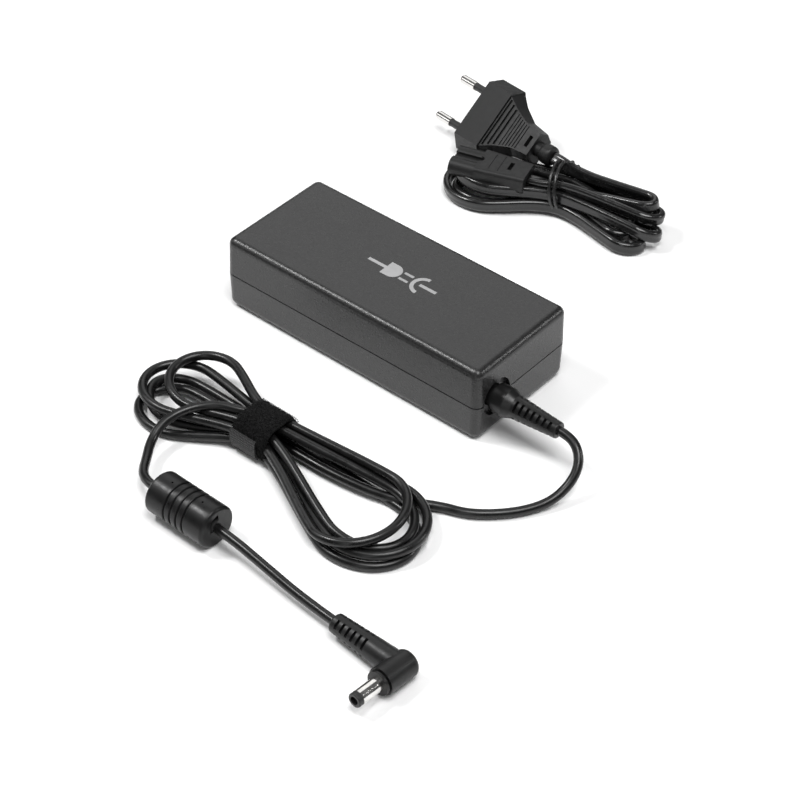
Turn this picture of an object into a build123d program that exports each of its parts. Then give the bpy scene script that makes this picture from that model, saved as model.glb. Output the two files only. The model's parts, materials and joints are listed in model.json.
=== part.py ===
from build123d import *
import math
import os

# Laptop power adapter: a moulded brick with a fixed DC lead and a loose figure-8 mains lead.
# Millimetres. The origin is the middle of the brick's underside, +X points to the DC lead's
# end of the brick, +Y to its back long side and +Z up. The leads lie on the plane z = 0.

# Brick
LENGTH = 125.0
WIDTH = 53.7
HEIGHT = 32.5
PARTING_Z = 16.0
CORNER_R = 3.6
TOP_EDGE_R = 3.1
BOTTOM_EDGE_R = 3.7
DRAFT_INSET = 0.5
WALL = 2.2
SEAM_HALF = 0.25
SEAM_DEEP = 0.7
TONGUE_THICK = 0.9
TONGUE_TALL = 1.5
TONGUE_GAP = 0.1
POST_R = 2.6
POST_X = 52.0
POST_Y = 19.0
LABEL_LENGTH = 78.0
LABEL_WIDTH = 36.0
LABEL_THICK = 0.12
LABEL_RECESS = 0.2

# Circuit board and what lies above and below it
BOARD_LENGTH = 112.0
BOARD_WIDTH = 44.0
BOARD_THICK = 1.6
BOARD_Z = 6.0
BOARD_TOP = BOARD_Z + BOARD_THICK
SHIELD_LENGTH = 96.0
SHIELD_WIDTH = 42.0
SHIELD_THICK = 0.5
FILM_THICK = 0.3
TOP_SHIELD_Z = 29.6

# Mains inlet, a two-pole socket in the end wall at -X
INLET_WIDTH = 20.4
INLET_TALL = 12.6
INLET_DEEP = 17.0
INLET_FLANGE = 1.4
INLET_FLANGE_THICK = 1.6
INLET_FLANGE_GAP = 0.35
SOCKET_LOBE_R = 4.0
SOCKET_WAIST = 6.8
SOCKET_DEEP = 11.0
PIN_PITCH = 8.6
INLET_PIN_R = 1.2
INLET_PIN_SHANK_R = 0.9
INLET_PIN_REACH = 9.0
INLET_PIN_TAIL = 2.5

# Strain relief of the DC lead, in the end wall at +X
GLAND_Y = -15.5
RECESS_R = 7.7
RECESS_DEEP = 2.0
WALL_BOSS_R = 8.5
WALL_BOSS_THICK = 1.6
GLAND_NECK_R = 4.6
GLAND_FLANGE = 13.6
GLAND_FLANGE_THICK = 2.0
COLLAR_R = 5.8
COLLAR_START = 62.9
COLLAR_END = 68.3
SHOULDER_END = 71.4
BOOT_START_R = 4.65
BOOT_END_R = 3.2
BOOT_END = 91.0
WINDOW_COUNT = 7
WINDOW_FIRST = 72.6
WINDOW_PITCH = 2.5
WINDOW_WIDE = 1.1
STRIP_WIDE = 2.2
WINDOW_FLOOR = 0.35

# DC cord
CORD_D = 3.6
CORD_R = CORD_D / 2
BEND_SHARE = 0.45

# Hank of the DC cord and its strap
STRAP_X = 5.0
STRAP_Y = -78.0
STRAP_WIDE = 16.0
STRAP_THICK = 1.4
BUNDLE_WIDE = 16.4
BUNDLE_TALL = 12.8
BUNDLE_ROUND = 5.6
NECK_LONG = 22.0
LEFT_LOOP = (-32.0, -81.5)
LEFT_LOOP_R = 21.5
LEFT_LOOP_TALL = 6.8
RIGHT_LOOP = (61.0, -85.0)
RIGHT_LOOP_R = 23.5
RIGHT_LOOP_TALL = 8.6
LEAD_STUB = 12.0
LINK_STUB = 4.0

# Ferrite bead on the DC cord
FERRITE_START = (-1.2, -125.4, 8.2)
FERRITE_DIR = (28.0, -0.5, 0.0)
FERRITE_LONG = 28.0
FERRITE_R = 8.2
FERRITE_ROUND = 1.2
CORE_LONG = 22.0
CORE_R = 6.2
CORE_BORE_R = 2.4
GROOVE_COUNT = 4
GROOVE_PITCH = 3.0
GROOVE_WIDE = 0.8
GROOVE_DEEP = 0.6
GROOVE_ROUND = 0.4
END_RING_R = 5.8
END_RING_DEEP = 2.5
END_BOSS_R = 3.3
END_SLOT_WIDE = 1.3
END_TURN = 36.0
PINHOLE_R = 0.4
PINHOLE_DEEP = 0.9
PINHOLES_FROM_END = 6.6
PINHOLE_TURN = 65.0

# DC plug, turned through a right angle. It is drawn along the axes, then swung about the end of
# its boot and rolled a little, so that its barrel points slightly up
PLUG_SWING = -3.0
PLUG_ROLL = -4.0
PLUG_X = 114.4
PLUG_Y = -130.3
PLUG_Z = 5.2
PLUG_BOOT_START = 85.0
PLUG_BOOT_START_R = 3.6
PLUG_BOOT_END_R = 4.8
HEAD_R = 5.15
HEAD_BACK_Y = -125.2
HEAD_FACE_Y = -139.3
HEAD_ROUND = 2.2
HEAD_STEP = 1.5
HEAD_STEP_R = 4.5
HEAD_GAP = 0.5
HEAD_NECK_R = 3.8
BARREL_R = 2.75
BARREL_FLANGE_R = 3.3
BARREL_FLANGE_SET = 1.0
BARREL_LONG = 11.0
BARREL_WALL = 0.35
TIP_RING = 2.0
TIP_RING_R = 2.68
CONTACT_R = 1.6
CONTACT_BORE_R = 1.25
CONTACT_SLIT = 0.3
CONTACT_LONG = 8.2
PLUG_WINDOWS = 6
PLUG_WINDOW_FIRST = 87.4
PLUG_WINDOW_PITCH = 2.55
PLUG_WINDOW_WIDE = 1.1

# Hank of the mains lead: the plane's X runs along the hank
HANK_CENTRE = (-2.5, 111.0, 0.0)
HANK_DIR = (0.963, 0.27, 0.0)
HANK_NECK_LONG = 12.0
HANK_BUNDLE_WIDE = 17.5
HANK_BUNDLE_LOW = 1.5
HANK_BUNDLE_TALL = 18.0
HANK_BUNDLE_ROUND = 5.0
HANK_LEFT = (-37.0, -6.5)
HANK_LEFT_R = 11.5
HANK_LEFT_TALL = 8.4
HANK_RIGHT = (34.0, -8.3)
HANK_RIGHT_R = 12.5
HANK_RIGHT_TALL = 12.6
TIE_THICK = 1.4
TIE_WIDE = 2.4
MAINS_CORD_R = 2.1
PLUG_STUB = 6.0
C7_STUB = 9.0

# Flat two-pole mains plug
PLUG_PIN_DIR = (-0.9835, 0.1717, -0.0523)
PLUG_WIDTH_DIR = (-0.0975, -0.7558, -0.6476)
PLUG_REAR = (-11.5, 116.0, 17.5)
PLUG_LONG = 46.0
PLUG_WIDE = 35.3
PLUG_FLAT = 26.1
PLUG_THICK = 13.7
PLUG_BLOCK = 14.0
# Rest of the body: distance behind the face, width, width of the flat, thickness
PLUG_SECTIONS = [
    (PLUG_BLOCK, 34.6, 25.0, 12.1),
    (20.0, 25.0, 18.5, 11.5),
    (28.0, 16.5, 12.4, 10.4),
    (37.0, 14.0, 10.6, 9.2),
]
# Grip grooves across its broad sides, coarse then fine: first, count, pitch, width, depth
PLUG_GRIPS = [(14.8, 3, 2.4, 1.3, 0.8), (22.4, 6, 1.5, 0.6, 0.35)]
PLUG_RELIEF_END = 40.0
PLUG_KNOB_R = 4.3
PLUG_KNOB_ROUND = 1.6
PLUG_PIN_PITCH = 18.6
PLUG_PIN_R = 2.0
PLUG_SLEEVE_R = 1.7
PLUG_PIN_OUT = 19.0
PLUG_SLEEVE_OUT = 10.0
PLUG_PIN_IN = 12.0
PLUG_PIN_CORE_R = 1.3
PLUG_SLOT_AT = 34.0
SLOT_WIDE = 5.2
SLOT_LONG = 1.8
SLOT_DEEP = 2.2

# Mains connector, the figure-8 end of the mains lead
C7_REAR = (-13.7, 102.4, 13.0)
C7_NOSE_DIR = (-0.96, -0.28, 0.0)
C7_LONG = 33.0
C7_NOSE = 11.5
C7_LOBE_R = 3.8
C7_WAIST = 6.4
C7_CHANNEL_WIDE = 3.4
C7_CHANNEL_DEEP = 1.7
C7_FRONT_WIDE = 16.8
C7_REAR_WIDE = 13.6
C7_FRONT_THICK = 8.0
C7_REAR_THICK = 7.8
C7_ROUND = 1.8
C7_LINES_AT = (17.0, 21.0)
C7_LINE_WIDE = 0.5
C7_LINE_DEEP = 0.25
C7_CONTACT_R = 1.7
C7_CONTACT_BORE_R = 1.25
C7_CONTACT_LONG = 10.5
C7_SLOT_AT = 8.0

# Free stretches of the DC cord, from the brick to the plug
LEAD_ROUTE = [
    (91.0, -15.5, 16.0),
    (95.8, -15.5, 16.0),
    (101.4, -17.7, 14.1),
    (104.7, -21.9, 10.4),
    (104.9, -27.6, 6.0),
    (103.0, -35.2, 2.7),
    (98.8, -43.8, 2.0),
    (92.0, -52.2, 2.0),
    (83.5, -59.0, 2.0),
    (75.0, -61.7, 2.0),
]
LINK_ROUTE = [
    (-7.5, -79.3, 11.6),
    (-13.4, -81.3, 11.8),
    (-19.6, -86.2, 11.2),
    (-23.8, -93.4, 10.2),
    (-24.9, -101.0, 9.2),
    (-23.2, -108.4, 6.6),
    (-18.6, -115.2, 5.8),
    (-13.4, -122.3, 6.9),
    (-7.2, -125.293, 8.2),
    (-1.2, -125.4, 8.2),
]
TAIL_ROUTE = [
    (-1.2, -125.4, 8.2),
    (31.8, -125.989, 8.2),
    (51.0, -127.8, 6.8),
    (69.0, -129.46, 5.2),
    (85.0, -130.3, 5.2),
]

os.makedirs("parts", exist_ok=True)

FROM_MIN = (Align.CENTER, Align.CENTER, Align.MIN)
GLAND_AXIS = Axis((0, GLAND_Y, PARTING_Z), (1, 0, 0))
GLAND_SIDE = Plane(origin=(0, GLAND_Y, PARTING_Z), x_dir=(1, 0, 0), z_dir=(0, -1, 0))
HANK_PLANE = Plane(origin=HANK_CENTRE, x_dir=HANK_DIR, z_dir=(0, 0, 1))
HANK_ACROSS = Plane(origin=HANK_CENTRE, x_dir=(-HANK_DIR[1], HANK_DIR[0], 0), z_dir=HANK_DIR)
PLUG_FACE = Plane(
    origin=Vector(*PLUG_REAR) + Vector(*PLUG_PIN_DIR).normalized() * PLUG_LONG,
    x_dir=PLUG_WIDTH_DIR,
    z_dir=PLUG_PIN_DIR,
)
PLUG_PIN_AXIS = Axis(PLUG_FACE.origin, PLUG_FACE.z_dir)
C7_FACE = Plane(
    origin=Vector(*C7_REAR) + Vector(*C7_NOSE_DIR).normalized() * C7_LONG,
    x_dir=(-C7_NOSE_DIR[1], C7_NOSE_DIR[0], 0),
    z_dir=C7_NOSE_DIR,
)
FERRITE_FACE = Plane(origin=FERRITE_START, x_dir=(0, 0, 1), z_dir=FERRITE_DIR)
PLUG_HINGE = Location((PLUG_BOOT_START, PLUG_Y, PLUG_Z))
PLUG_TURN = Location((0, 0, 0), (0, 0, PLUG_SWING)) * Location((0, 0, 0), (PLUG_ROLL, 0, 0))
PLUG_MOVE = PLUG_HINGE * PLUG_TURN * PLUG_HINGE.inverse()


def save(piece, name, move=None):
    """Label a finished piece and write it, moved to its place if it was drawn elsewhere."""
    part = piece.part.moved(move) if move else piece.part
    part.label = name
    export_step(part, f"parts/{name}.step")


def block(name, long, wide, tall, place, soften=0.3):
    """A plain moulded or stamped block, standing on its place, with softened upright edges."""
    with BuildPart() as piece:
        with Locations(place):
            Box(long, wide, tall, align=FROM_MIN)
        if soften:
            fillet(piece.edges().filter_by(Axis.Z), soften)
    save(piece, name)


def bend_radii(route):
    """The largest arc that the two runs at each corner leave room for."""
    radii = []
    for before, corner, after in zip(route, route[1:], route[2:]):
        run_in = corner - before
        run_out = after - corner
        half_turn = math.radians(run_in.get_angle(run_out)) / 2
        radii.append(BEND_SHARE * min(run_in.length, run_out.length) / math.tan(half_turn))
    return radii


def cord_tube(name, route, radius):
    """A stretch of cord: straight runs joined by tangent arcs."""
    points = [Vector(*point) for point in route]
    radii = bend_radii(points)
    with BuildPart() as cord:
        with BuildLine() as path:
            FilletPolyline(*points, radius=radii)
        with BuildSketch(path.line ^ 0):
            Circle(radius)
        sweep()
    save(cord, name)
    long = path.wires()[0].length
    share = cord.part.volume / (math.pi * radius**2 * long)
    print(name, "length", round(long, 1), "volume over section times length", round(share, 4))
    print(name, "bend radii", [round(r, 1) for r in radii])


# ---------------------------------------------------------------- housing


def end_wall_openings():
    """What both shells lose: the inlet's window, the gland's round recess and neck hole."""
    with BuildPart() as openings:
        with BuildSketch(Plane.YZ.offset(-LENGTH / 2 - 1)):
            with Locations((0, PARTING_Z)):
                RectangleRounded(INLET_WIDTH, INLET_TALL, 1.0)
        extrude(amount=WALL + 2)
        with BuildSketch(Plane.YZ.offset(LENGTH / 2 - RECESS_DEEP)):
            with Locations((GLAND_Y, PARTING_Z)):
                Circle(RECESS_R)
        extrude(amount=RECESS_DEEP + 1)
        with BuildSketch(Plane.YZ.offset(LENGTH / 2 - WALL - WALL_BOSS_THICK - 1)):
            with Locations((GLAND_Y, PARTING_Z)):
                Circle(GLAND_NECK_R + TONGUE_GAP)
        extrude(amount=WALL + WALL_BOSS_THICK + 2)
    return openings.part


def gland_boss(keep):
    """Half of the round boss behind the end wall that the strain relief clips into."""
    with BuildPart() as boss:
        with BuildSketch(Plane.YZ.offset(LENGTH / 2 - WALL - WALL_BOSS_THICK)):
            with Locations((GLAND_Y, PARTING_Z)):
                Circle(WALL_BOSS_R)
        extrude(amount=WALL_BOSS_THICK + WALL / 2)
        split(bisect_by=Plane.XY.offset(PARTING_Z), keep=keep)
    return boss.part


def half_shell(tall, edge_radius, direction):
    """Outer form and cavity of one half of the housing, drawn from the seam outwards."""
    taper = math.degrees(math.atan(DRAFT_INSET / tall))
    with BuildPart() as half:
        with BuildSketch(Plane.XY.offset(PARTING_Z)):
            RectangleRounded(LENGTH, WIDTH, CORNER_R)
        extrude(amount=direction * tall, taper=taper)
        fillet(half.faces().sort_by(Axis.Z)[-1 if direction > 0 else 0].edges(), edge_radius)
        with BuildSketch(Plane.XY.offset(PARTING_Z)):
            Rectangle(LENGTH + 2, WIDTH + 2)
            RectangleRounded(
                LENGTH - 2 * SEAM_DEEP,
                WIDTH - 2 * SEAM_DEEP,
                CORNER_R - SEAM_DEEP,
                mode=Mode.SUBTRACT,
            )
        extrude(amount=direction * SEAM_HALF, mode=Mode.SUBTRACT)
        with BuildSketch(Plane.XY.offset(PARTING_Z)):
            RectangleRounded(LENGTH - 2 * WALL, WIDTH - 2 * WALL, CORNER_R - WALL)
        extrude(amount=direction * (tall - WALL), taper=taper, mode=Mode.SUBTRACT)
    return half.part


def upper_shell():
    outer = half_shell(HEIGHT - PARTING_Z, TOP_EDGE_R, 1)
    boss = gland_boss(Keep.TOP)
    openings = end_wall_openings()
    with BuildPart() as shell:
        add(outer)
        add(boss)
        rebate = 2 * (WALL - TONGUE_THICK - TONGUE_GAP)
        with BuildSketch(Plane.XY.offset(PARTING_Z)):
            RectangleRounded(LENGTH - rebate, WIDTH - rebate, CORNER_R - rebate / 2)
        extrude(amount=TONGUE_TALL + TONGUE_GAP, mode=Mode.SUBTRACT)
        add(openings, mode=Mode.SUBTRACT)
    save(shell, "upper_shell")


def lower_shell():
    outer = half_shell(PARTING_Z, BOTTOM_EDGE_R, -1)
    boss = gland_boss(Keep.BOTTOM)
    openings = end_wall_openings()
    with BuildPart() as shell:
        add(outer)
        add(boss)
        inset = 2 * (WALL - TONGUE_THICK)
        with BuildSketch(Plane.XY.offset(PARTING_Z)):
            RectangleRounded(LENGTH - inset, WIDTH - inset, CORNER_R - inset / 2)
            RectangleRounded(
                LENGTH - 2 * WALL, WIDTH - 2 * WALL, CORNER_R - WALL, mode=Mode.SUBTRACT
            )
        extrude(amount=TONGUE_TALL)
        with BuildSketch(Plane.XY.offset(WALL)):
            with GridLocations(2 * POST_X, 2 * POST_Y, 2, 2):
                Circle(POST_R)
        extrude(amount=BOARD_Z - WALL)
        with BuildSketch():
            RectangleRounded(LABEL_LENGTH + 1, LABEL_WIDTH + 1, 2.0)
        extrude(amount=LABEL_RECESS, mode=Mode.SUBTRACT)
        add(openings, mode=Mode.SUBTRACT)
        gland_wall = LENGTH / 2 - WALL - WALL_BOSS_THICK
        with Locations((gland_wall - POST_R, GLAND_Y, PARTING_Z - GLAND_NECK_R)):
            Box(2 * POST_R, GLAND_FLANGE + 1, GLAND_NECK_R + TONGUE_TALL, align=FROM_MIN,
                mode=Mode.SUBTRACT)
    save(shell, "lower_shell")


def rating_label():
    """A blank adhesive plate in its shallow recess under the brick."""
    with BuildPart() as label:
        with BuildSketch(Plane.XY.offset(LABEL_RECESS - LABEL_THICK)):
            RectangleRounded(LABEL_LENGTH, LABEL_WIDTH, 1.5)
        extrude(amount=LABEL_THICK)
    save(label, "rating_label")


# ---------------------------------------------------------------- board and electronics


def board_stack():
    """The board, the shields and the insulating film."""
    with BuildPart() as board:
        with BuildSketch(Plane.XY.offset(BOARD_Z)):
            RectangleRounded(BOARD_LENGTH, BOARD_WIDTH, 1.0)
        extrude(amount=BOARD_THICK)
    save(board, "circuit_board")
    shield_z = WALL + 0.1
    block("bottom_shield", SHIELD_LENGTH, SHIELD_WIDTH, SHIELD_THICK, (0, 0, shield_z), 1.0)
    film_z = shield_z + SHIELD_THICK
    block("insulation_film", SHIELD_LENGTH, SHIELD_WIDTH, FILM_THICK, (0, 0, film_z), 1.0)
    block("top_shield", SHIELD_LENGTH, SHIELD_WIDTH, SHIELD_THICK, (0, 0, TOP_SHIELD_Z), 1.0)


def socket_outline(lobe_radius, waist, pitch):
    """A figure-8 outline, added to the sketch being built."""
    with Locations((-pitch / 2, 0), (pitch / 2, 0)):
        Circle(lobe_radius)
    Rectangle(pitch, waist)


def mains_inlet():
    """The inlet's housing with its figure-8 well, and its two pins."""
    face = Plane(origin=(-LENGTH / 2, 0, PARTING_Z), x_dir=(0, 1, 0), z_dir=(1, 0, 0))
    gap = 2 * TONGUE_GAP
    with BuildPart() as pins:
        with BuildSketch(face.offset(SOCKET_DEEP - INLET_PIN_REACH)):
            with Locations((-PIN_PITCH / 2, 0), (PIN_PITCH / 2, 0)):
                Circle(INLET_PIN_R)
        extrude(amount=INLET_PIN_REACH)
        fillet(pins.faces().sort_by(Axis.X)[0:2].edges(), INLET_PIN_R / 2)
        with BuildSketch(face.offset(SOCKET_DEEP)):
            with Locations((-PIN_PITCH / 2, 0), (PIN_PITCH / 2, 0)):
                Circle(INLET_PIN_SHANK_R)
        extrude(amount=INLET_DEEP - SOCKET_DEEP + INLET_PIN_TAIL)
    save(pins, "inlet_pins")
    with BuildPart() as housing:
        with BuildSketch(face):
            RectangleRounded(INLET_WIDTH - gap, INLET_TALL - gap, 1.0)
        extrude(amount=INLET_DEEP)
        with BuildSketch(face.offset(WALL + INLET_FLANGE_GAP)):
            RectangleRounded(INLET_WIDTH + INLET_FLANGE, INLET_TALL + INLET_FLANGE, 1.0)
        extrude(amount=INLET_FLANGE_THICK)
        with BuildSketch(face):
            socket_outline(SOCKET_LOBE_R, SOCKET_WAIST, PIN_PITCH)
        extrude(amount=SOCKET_DEEP, mode=Mode.SUBTRACT)
        add(pins.part, mode=Mode.SUBTRACT)
    save(housing, "inlet_housing")


def upright_disc(name, radius, thick, place):
    """A disc-shaped component standing on its edge, its axis along Y."""
    with BuildPart() as disc:
        with Locations(place):
            Cylinder(radius, thick, rotation=(90, 0, 0))
        fillet(disc.edges(), thick / 4)
    save(disc, name)


def can(name, radius, tall, places, axis_along_x=False):
    """One or more round cans with rolled edges."""
    with BuildPart() as cans:
        with Locations(*places):
            Cylinder(radius, tall, rotation=(0, 90, 0) if axis_along_x else (0, 0, 0))
        fillet(cans.edges().filter_by(GeomType.CIRCLE), radius / 10)
    save(cans, name)


def filter_choke():
    """The common-mode choke: a ring core lying flat, and its two windings."""
    centre = Plane(origin=(-20.0, -9.0, BOARD_TOP + 1.6))
    ring_out, ring_in, ring_tall, wire = 8.0, 4.6, 7.0, 1.2
    with BuildPart() as core:
        with BuildSketch(centre):
            Circle(ring_out)
            Circle(ring_in, mode=Mode.SUBTRACT)
        extrude(amount=ring_tall)
    save(core, "choke_core")
    with BuildPart() as winding:
        with BuildSketch(centre.offset(-wire)):
            Circle(ring_out + wire)
            Circle(ring_in - wire, mode=Mode.SUBTRACT)
            Rectangle(3 * wire, 3 * ring_out, mode=Mode.SUBTRACT)
        extrude(amount=ring_tall + 2 * wire)
        add(core.part, mode=Mode.SUBTRACT)
    save(winding, "choke_winding")


def heatsink(name, long, side, place):
    """A bent aluminium plate: an upright with a flange at its top, turned to one side."""
    thick, tall, flange = 1.5, 20.0, 6.0
    with BuildPart() as plate:
        with Locations(place):
            Box(long, thick, tall, align=FROM_MIN)
            with Locations((0, side * flange / 2, tall - thick)):
                Box(long, flange, thick, align=FROM_MIN)
    save(plate, name)


def power_package(name, side, place):
    """A flat three-leg power package: its tab lies against a heatsink."""
    body_long, body_tall, body_thick, tab_thick, leg = 10.0, 9.0, 4.4, 1.3, 0.8
    with BuildPart() as package:
        with Locations(place):
            with Locations((0, side * body_thick / 2, 3.5)):
                Box(body_long, body_thick, body_tall, align=FROM_MIN)
            with Locations((0, side * tab_thick / 2, 3.5 + body_tall)):
                Box(body_long, tab_thick, 6.0, align=FROM_MIN)
            with Locations(*[(x, side * body_thick / 2, 0) for x in (-2.54, 0, 2.54)]):
                Box(leg, leg, 4.0, align=FROM_MIN)
    save(package, name)


def transformer():
    """The transformer: a ferrite core closed round a bobbin with its winding."""
    x, y, z = 32.0, 4.0, BOARD_TOP + 0.6
    core_long, core_wide, core_tall, leg, yoke = 19.0, 29.0, 20.0, 4.5, 5.0
    bobbin_wall, flange, gap = 0.8, 1.0, 0.2
    window_wide = core_wide - 2 * leg
    window_tall = core_tall - 2 * yoke
    post = window_wide / 2
    with BuildPart() as core:
        with Locations((x, y, z)):
            Box(core_long, core_wide, core_tall, align=FROM_MIN)
            with Locations((0, 0, yoke)):
                Box(core_long, window_wide, window_tall, align=FROM_MIN, mode=Mode.SUBTRACT)
                Cylinder(post / 2, window_tall, align=FROM_MIN)
    save(core, "transformer_core")
    bobbin_z = z + yoke + gap / 2
    bobbin_tall = window_tall - gap
    outer = window_wide / 2 - gap
    with BuildPart() as bobbin:
        with Locations((x, y, bobbin_z)):
            Cylinder(outer, bobbin_tall, align=FROM_MIN)
            Cylinder(post / 2 + gap, bobbin_tall, align=FROM_MIN, mode=Mode.SUBTRACT)
            with Locations((0, 0, flange)):
                Cylinder(outer, bobbin_tall - 2 * flange, align=FROM_MIN, mode=Mode.SUBTRACT)
                Cylinder(post / 2 + gap + bobbin_wall, bobbin_tall - 2 * flange, align=FROM_MIN)
                Cylinder(
                    post / 2 + gap, bobbin_tall - 2 * flange, align=FROM_MIN, mode=Mode.SUBTRACT
                )
    save(bobbin, "transformer_bobbin")
    with BuildPart() as winding:
        with Locations((x, y, bobbin_z + flange)):
            Cylinder(outer - gap, bobbin_tall - 2 * flange, align=FROM_MIN)
            Cylinder(
                post / 2 + gap + bobbin_wall,
                bobbin_tall - 2 * flange,
                align=FROM_MIN,
                mode=Mode.SUBTRACT,
            )
    save(winding, "transformer_winding")
    block("thermal_pad", core_long - 1, core_wide - 1, 1.3, (x, y, z + core_tall), 0.5)


def electronics():
    block("fuse", 8.4, 4.2, 8.0, (-40.0, -17.0, BOARD_TOP), 1.0)
    upright_disc("varistor", 5.0, 4.4, (-52.0, -16.5, BOARD_TOP + 6.5))
    upright_disc("ntc_thermistor", 5.5, 4.8, (-40.0, 17.0, BOARD_TOP + 7.0))
    block("x_capacitor", 8.0, 17.6, 14.0, (-34.2, 0, BOARD_TOP), 0.6)
    filter_choke()
    block("bridge_rectifier", 16.0, 4.0, 12.0, (-20.0, 17.0, BOARD_TOP + 2.0), 0.4)
    can("bulk_capacitor", 9.0, 29.0, [(6.0, -12.6, BOARD_TOP + 9.2)], axis_along_x=True)
    heatsink("primary_heatsink", 50.0, -1, (-4.0, 19.75, BOARD_TOP))
    power_package("switching_transistor", -1, (12.0, 19.0, BOARD_TOP))
    transformer()
    heatsink("secondary_heatsink", 26.0, 1, (36.0, -20.25, BOARD_TOP))
    power_package("rectifier_diode", 1, (34.0, -19.5, BOARD_TOP))
    can("output_capacitors", 4.0, 18.0, [(47.5, 1.5, BOARD_TOP + 9), (47.5, 11.0, BOARD_TOP + 9)])
    can("output_choke", 4.4, 11.0, [(48.0, -7.8, BOARD_TOP + 5.5)])
    block("optocoupler", 4.6, 6.5, 3.5, (46.0, 19.0, BOARD_TOP), 0.2)
    upright_disc("y_capacitor", 4.0, 3.6, (-4.0, 8.0, BOARD_TOP + 5.5))
    block("controller_chip", 5.0, 4.0, 1.5, (10.0, 5.0, BOARD_TOP), 0.1)


def output_wires():
    """The two wires from the board to the inner end of the strain relief."""
    wire_r, rise, run, apart = 0.7, 5.0, 2.2, 3.0
    foot_x = 51.0
    inner_x = LENGTH / 2 - WALL - WALL_BOSS_THICK - TONGUE_GAP - GLAND_FLANGE_THICK
    for name, side in (("positive_wire", 1), ("negative_wire", -1)):
        y = GLAND_Y + side * apart / 2
        route = [
            (foot_x, y, BOARD_TOP),
            (foot_x, y, BOARD_TOP + rise),
            (foot_x + run, y, PARTING_Z),
            (inner_x, y, PARTING_Z),
        ]
        cord_tube(name, route, wire_r)


# ---------------------------------------------------------------- strain relief and DC cord


def boot_windows(plane, first, count, pitch, wide, boot_radius):
    """What a boot's rows of windows remove, between its four strips."""
    with BuildPart() as windows:
        for index in range(count):
            with BuildSketch(plane.offset(first + index * pitch)):
                Circle(boot_radius + 1)
                Circle(CORD_R + WINDOW_FLOOR, mode=Mode.SUBTRACT)
                Rectangle(STRIP_WIDE, 3 * boot_radius, mode=Mode.SUBTRACT)
                Rectangle(3 * boot_radius, STRIP_WIDE, mode=Mode.SUBTRACT)
            extrude(amount=wide)
    return windows.part


def dc_strain_relief():
    """Flange inside the wall, neck through it, collar in the recess and a tapered boot."""
    flange_end = LENGTH / 2 - WALL - WALL_BOSS_THICK - TONGUE_GAP
    across = Plane(origin=(0, GLAND_Y, PARTING_Z), x_dir=(0, 1, 0), z_dir=(1, 0, 0))
    windows = boot_windows(
        across, WINDOW_FIRST, WINDOW_COUNT, WINDOW_PITCH, WINDOW_WIDE, BOOT_START_R
    )
    with BuildPart() as relief:
        with BuildSketch(GLAND_SIDE):
            with BuildLine():
                Polyline(
                    (flange_end - GLAND_FLANGE_THICK, 0),
                    (flange_end - GLAND_FLANGE_THICK, GLAND_NECK_R),
                    (COLLAR_START, GLAND_NECK_R),
                    (COLLAR_START, COLLAR_R),
                    (COLLAR_END, COLLAR_R),
                    (SHOULDER_END, BOOT_START_R),
                    (BOOT_END, BOOT_END_R),
                    (BOOT_END, 0),
                    close=True,
                )
            make_face()
        revolve(axis=GLAND_AXIS)
        fillet(relief.edges().filter_by(GeomType.CIRCLE).sort_by(Axis.X)[-1], 0.6)
        with BuildSketch(Plane.YZ.offset(flange_end - GLAND_FLANGE_THICK)):
            with Locations((GLAND_Y, PARTING_Z)):
                RectangleRounded(GLAND_FLANGE, GLAND_FLANGE, 1.5)
        extrude(amount=GLAND_FLANGE_THICK)
        add(windows, mode=Mode.SUBTRACT)
    save(relief, "dc_strain_relief")


def dc_hank():
    """Outer form of the tied cord: a low loop each side of the taller bundle in the strap."""
    across = Plane(origin=(0, STRAP_Y, 0), x_dir=(0, 1, 0), z_dir=(1, 0, 0))
    neck_start = STRAP_X - NECK_LONG / 2
    bundle_mid = STRAP_THICK + BUNDLE_TALL / 2
    with BuildPart() as hank:
        for centre, radius, tall, side in (
            (LEFT_LOOP, LEFT_LOOP_R, LEFT_LOOP_TALL, -1),
            (RIGHT_LOOP, RIGHT_LOOP_R, RIGHT_LOOP_TALL, 1),
        ):
            with BuildSketch():
                with Locations(centre):
                    Circle(radius)
                with Locations((STRAP_X + side * (NECK_LONG / 2 - 1), STRAP_Y)):
                    Rectangle(2, BUNDLE_WIDE)
                make_hull()
            extrude(amount=tall)
        with Locations((STRAP_X, STRAP_Y, 0)):
            Box(NECK_LONG, 3 * BUNDLE_WIDE, 3 * BUNDLE_TALL, mode=Mode.SUBTRACT)
        with BuildSketch(across.offset(neck_start)):
            with Locations((0, bundle_mid)):
                RectangleRounded(BUNDLE_WIDE, BUNDLE_TALL, BUNDLE_ROUND)
        extrude(amount=NECK_LONG)
        for end, before, reach in (
            (LEAD_ROUTE[-1], LEAD_ROUTE[-2], LEAD_STUB),
            (LINK_ROUTE[0], LINK_ROUTE[1], LINK_STUB),
        ):
            inwards = Vector(*end) - Vector(*before)
            with BuildSketch(Plane(origin=end, z_dir=inwards)):
                Circle(CORD_R)
            extrude(amount=reach)
    save(hank, "dc_cord_coil")


def cable_strap():
    """The hook-and-loop strap: a band closed round the bundle, with its flap at the front."""
    across = Plane(origin=(0, STRAP_Y, 0), x_dir=(0, 1, 0), z_dir=(1, 0, 0))
    bundle_mid = STRAP_THICK + BUNDLE_TALL / 2
    with BuildPart() as strap:
        with BuildSketch(across.offset(STRAP_X - STRAP_WIDE / 2)):
            with Locations((0, bundle_mid)):
                RectangleRounded(
                    BUNDLE_WIDE + 2 * STRAP_THICK,
                    BUNDLE_TALL + 2 * STRAP_THICK,
                    BUNDLE_ROUND + STRAP_THICK,
                )
                RectangleRounded(BUNDLE_WIDE, BUNDLE_TALL, BUNDLE_ROUND, mode=Mode.SUBTRACT)
        extrude(amount=STRAP_WIDE)
    save(strap, "cable_strap")


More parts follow.
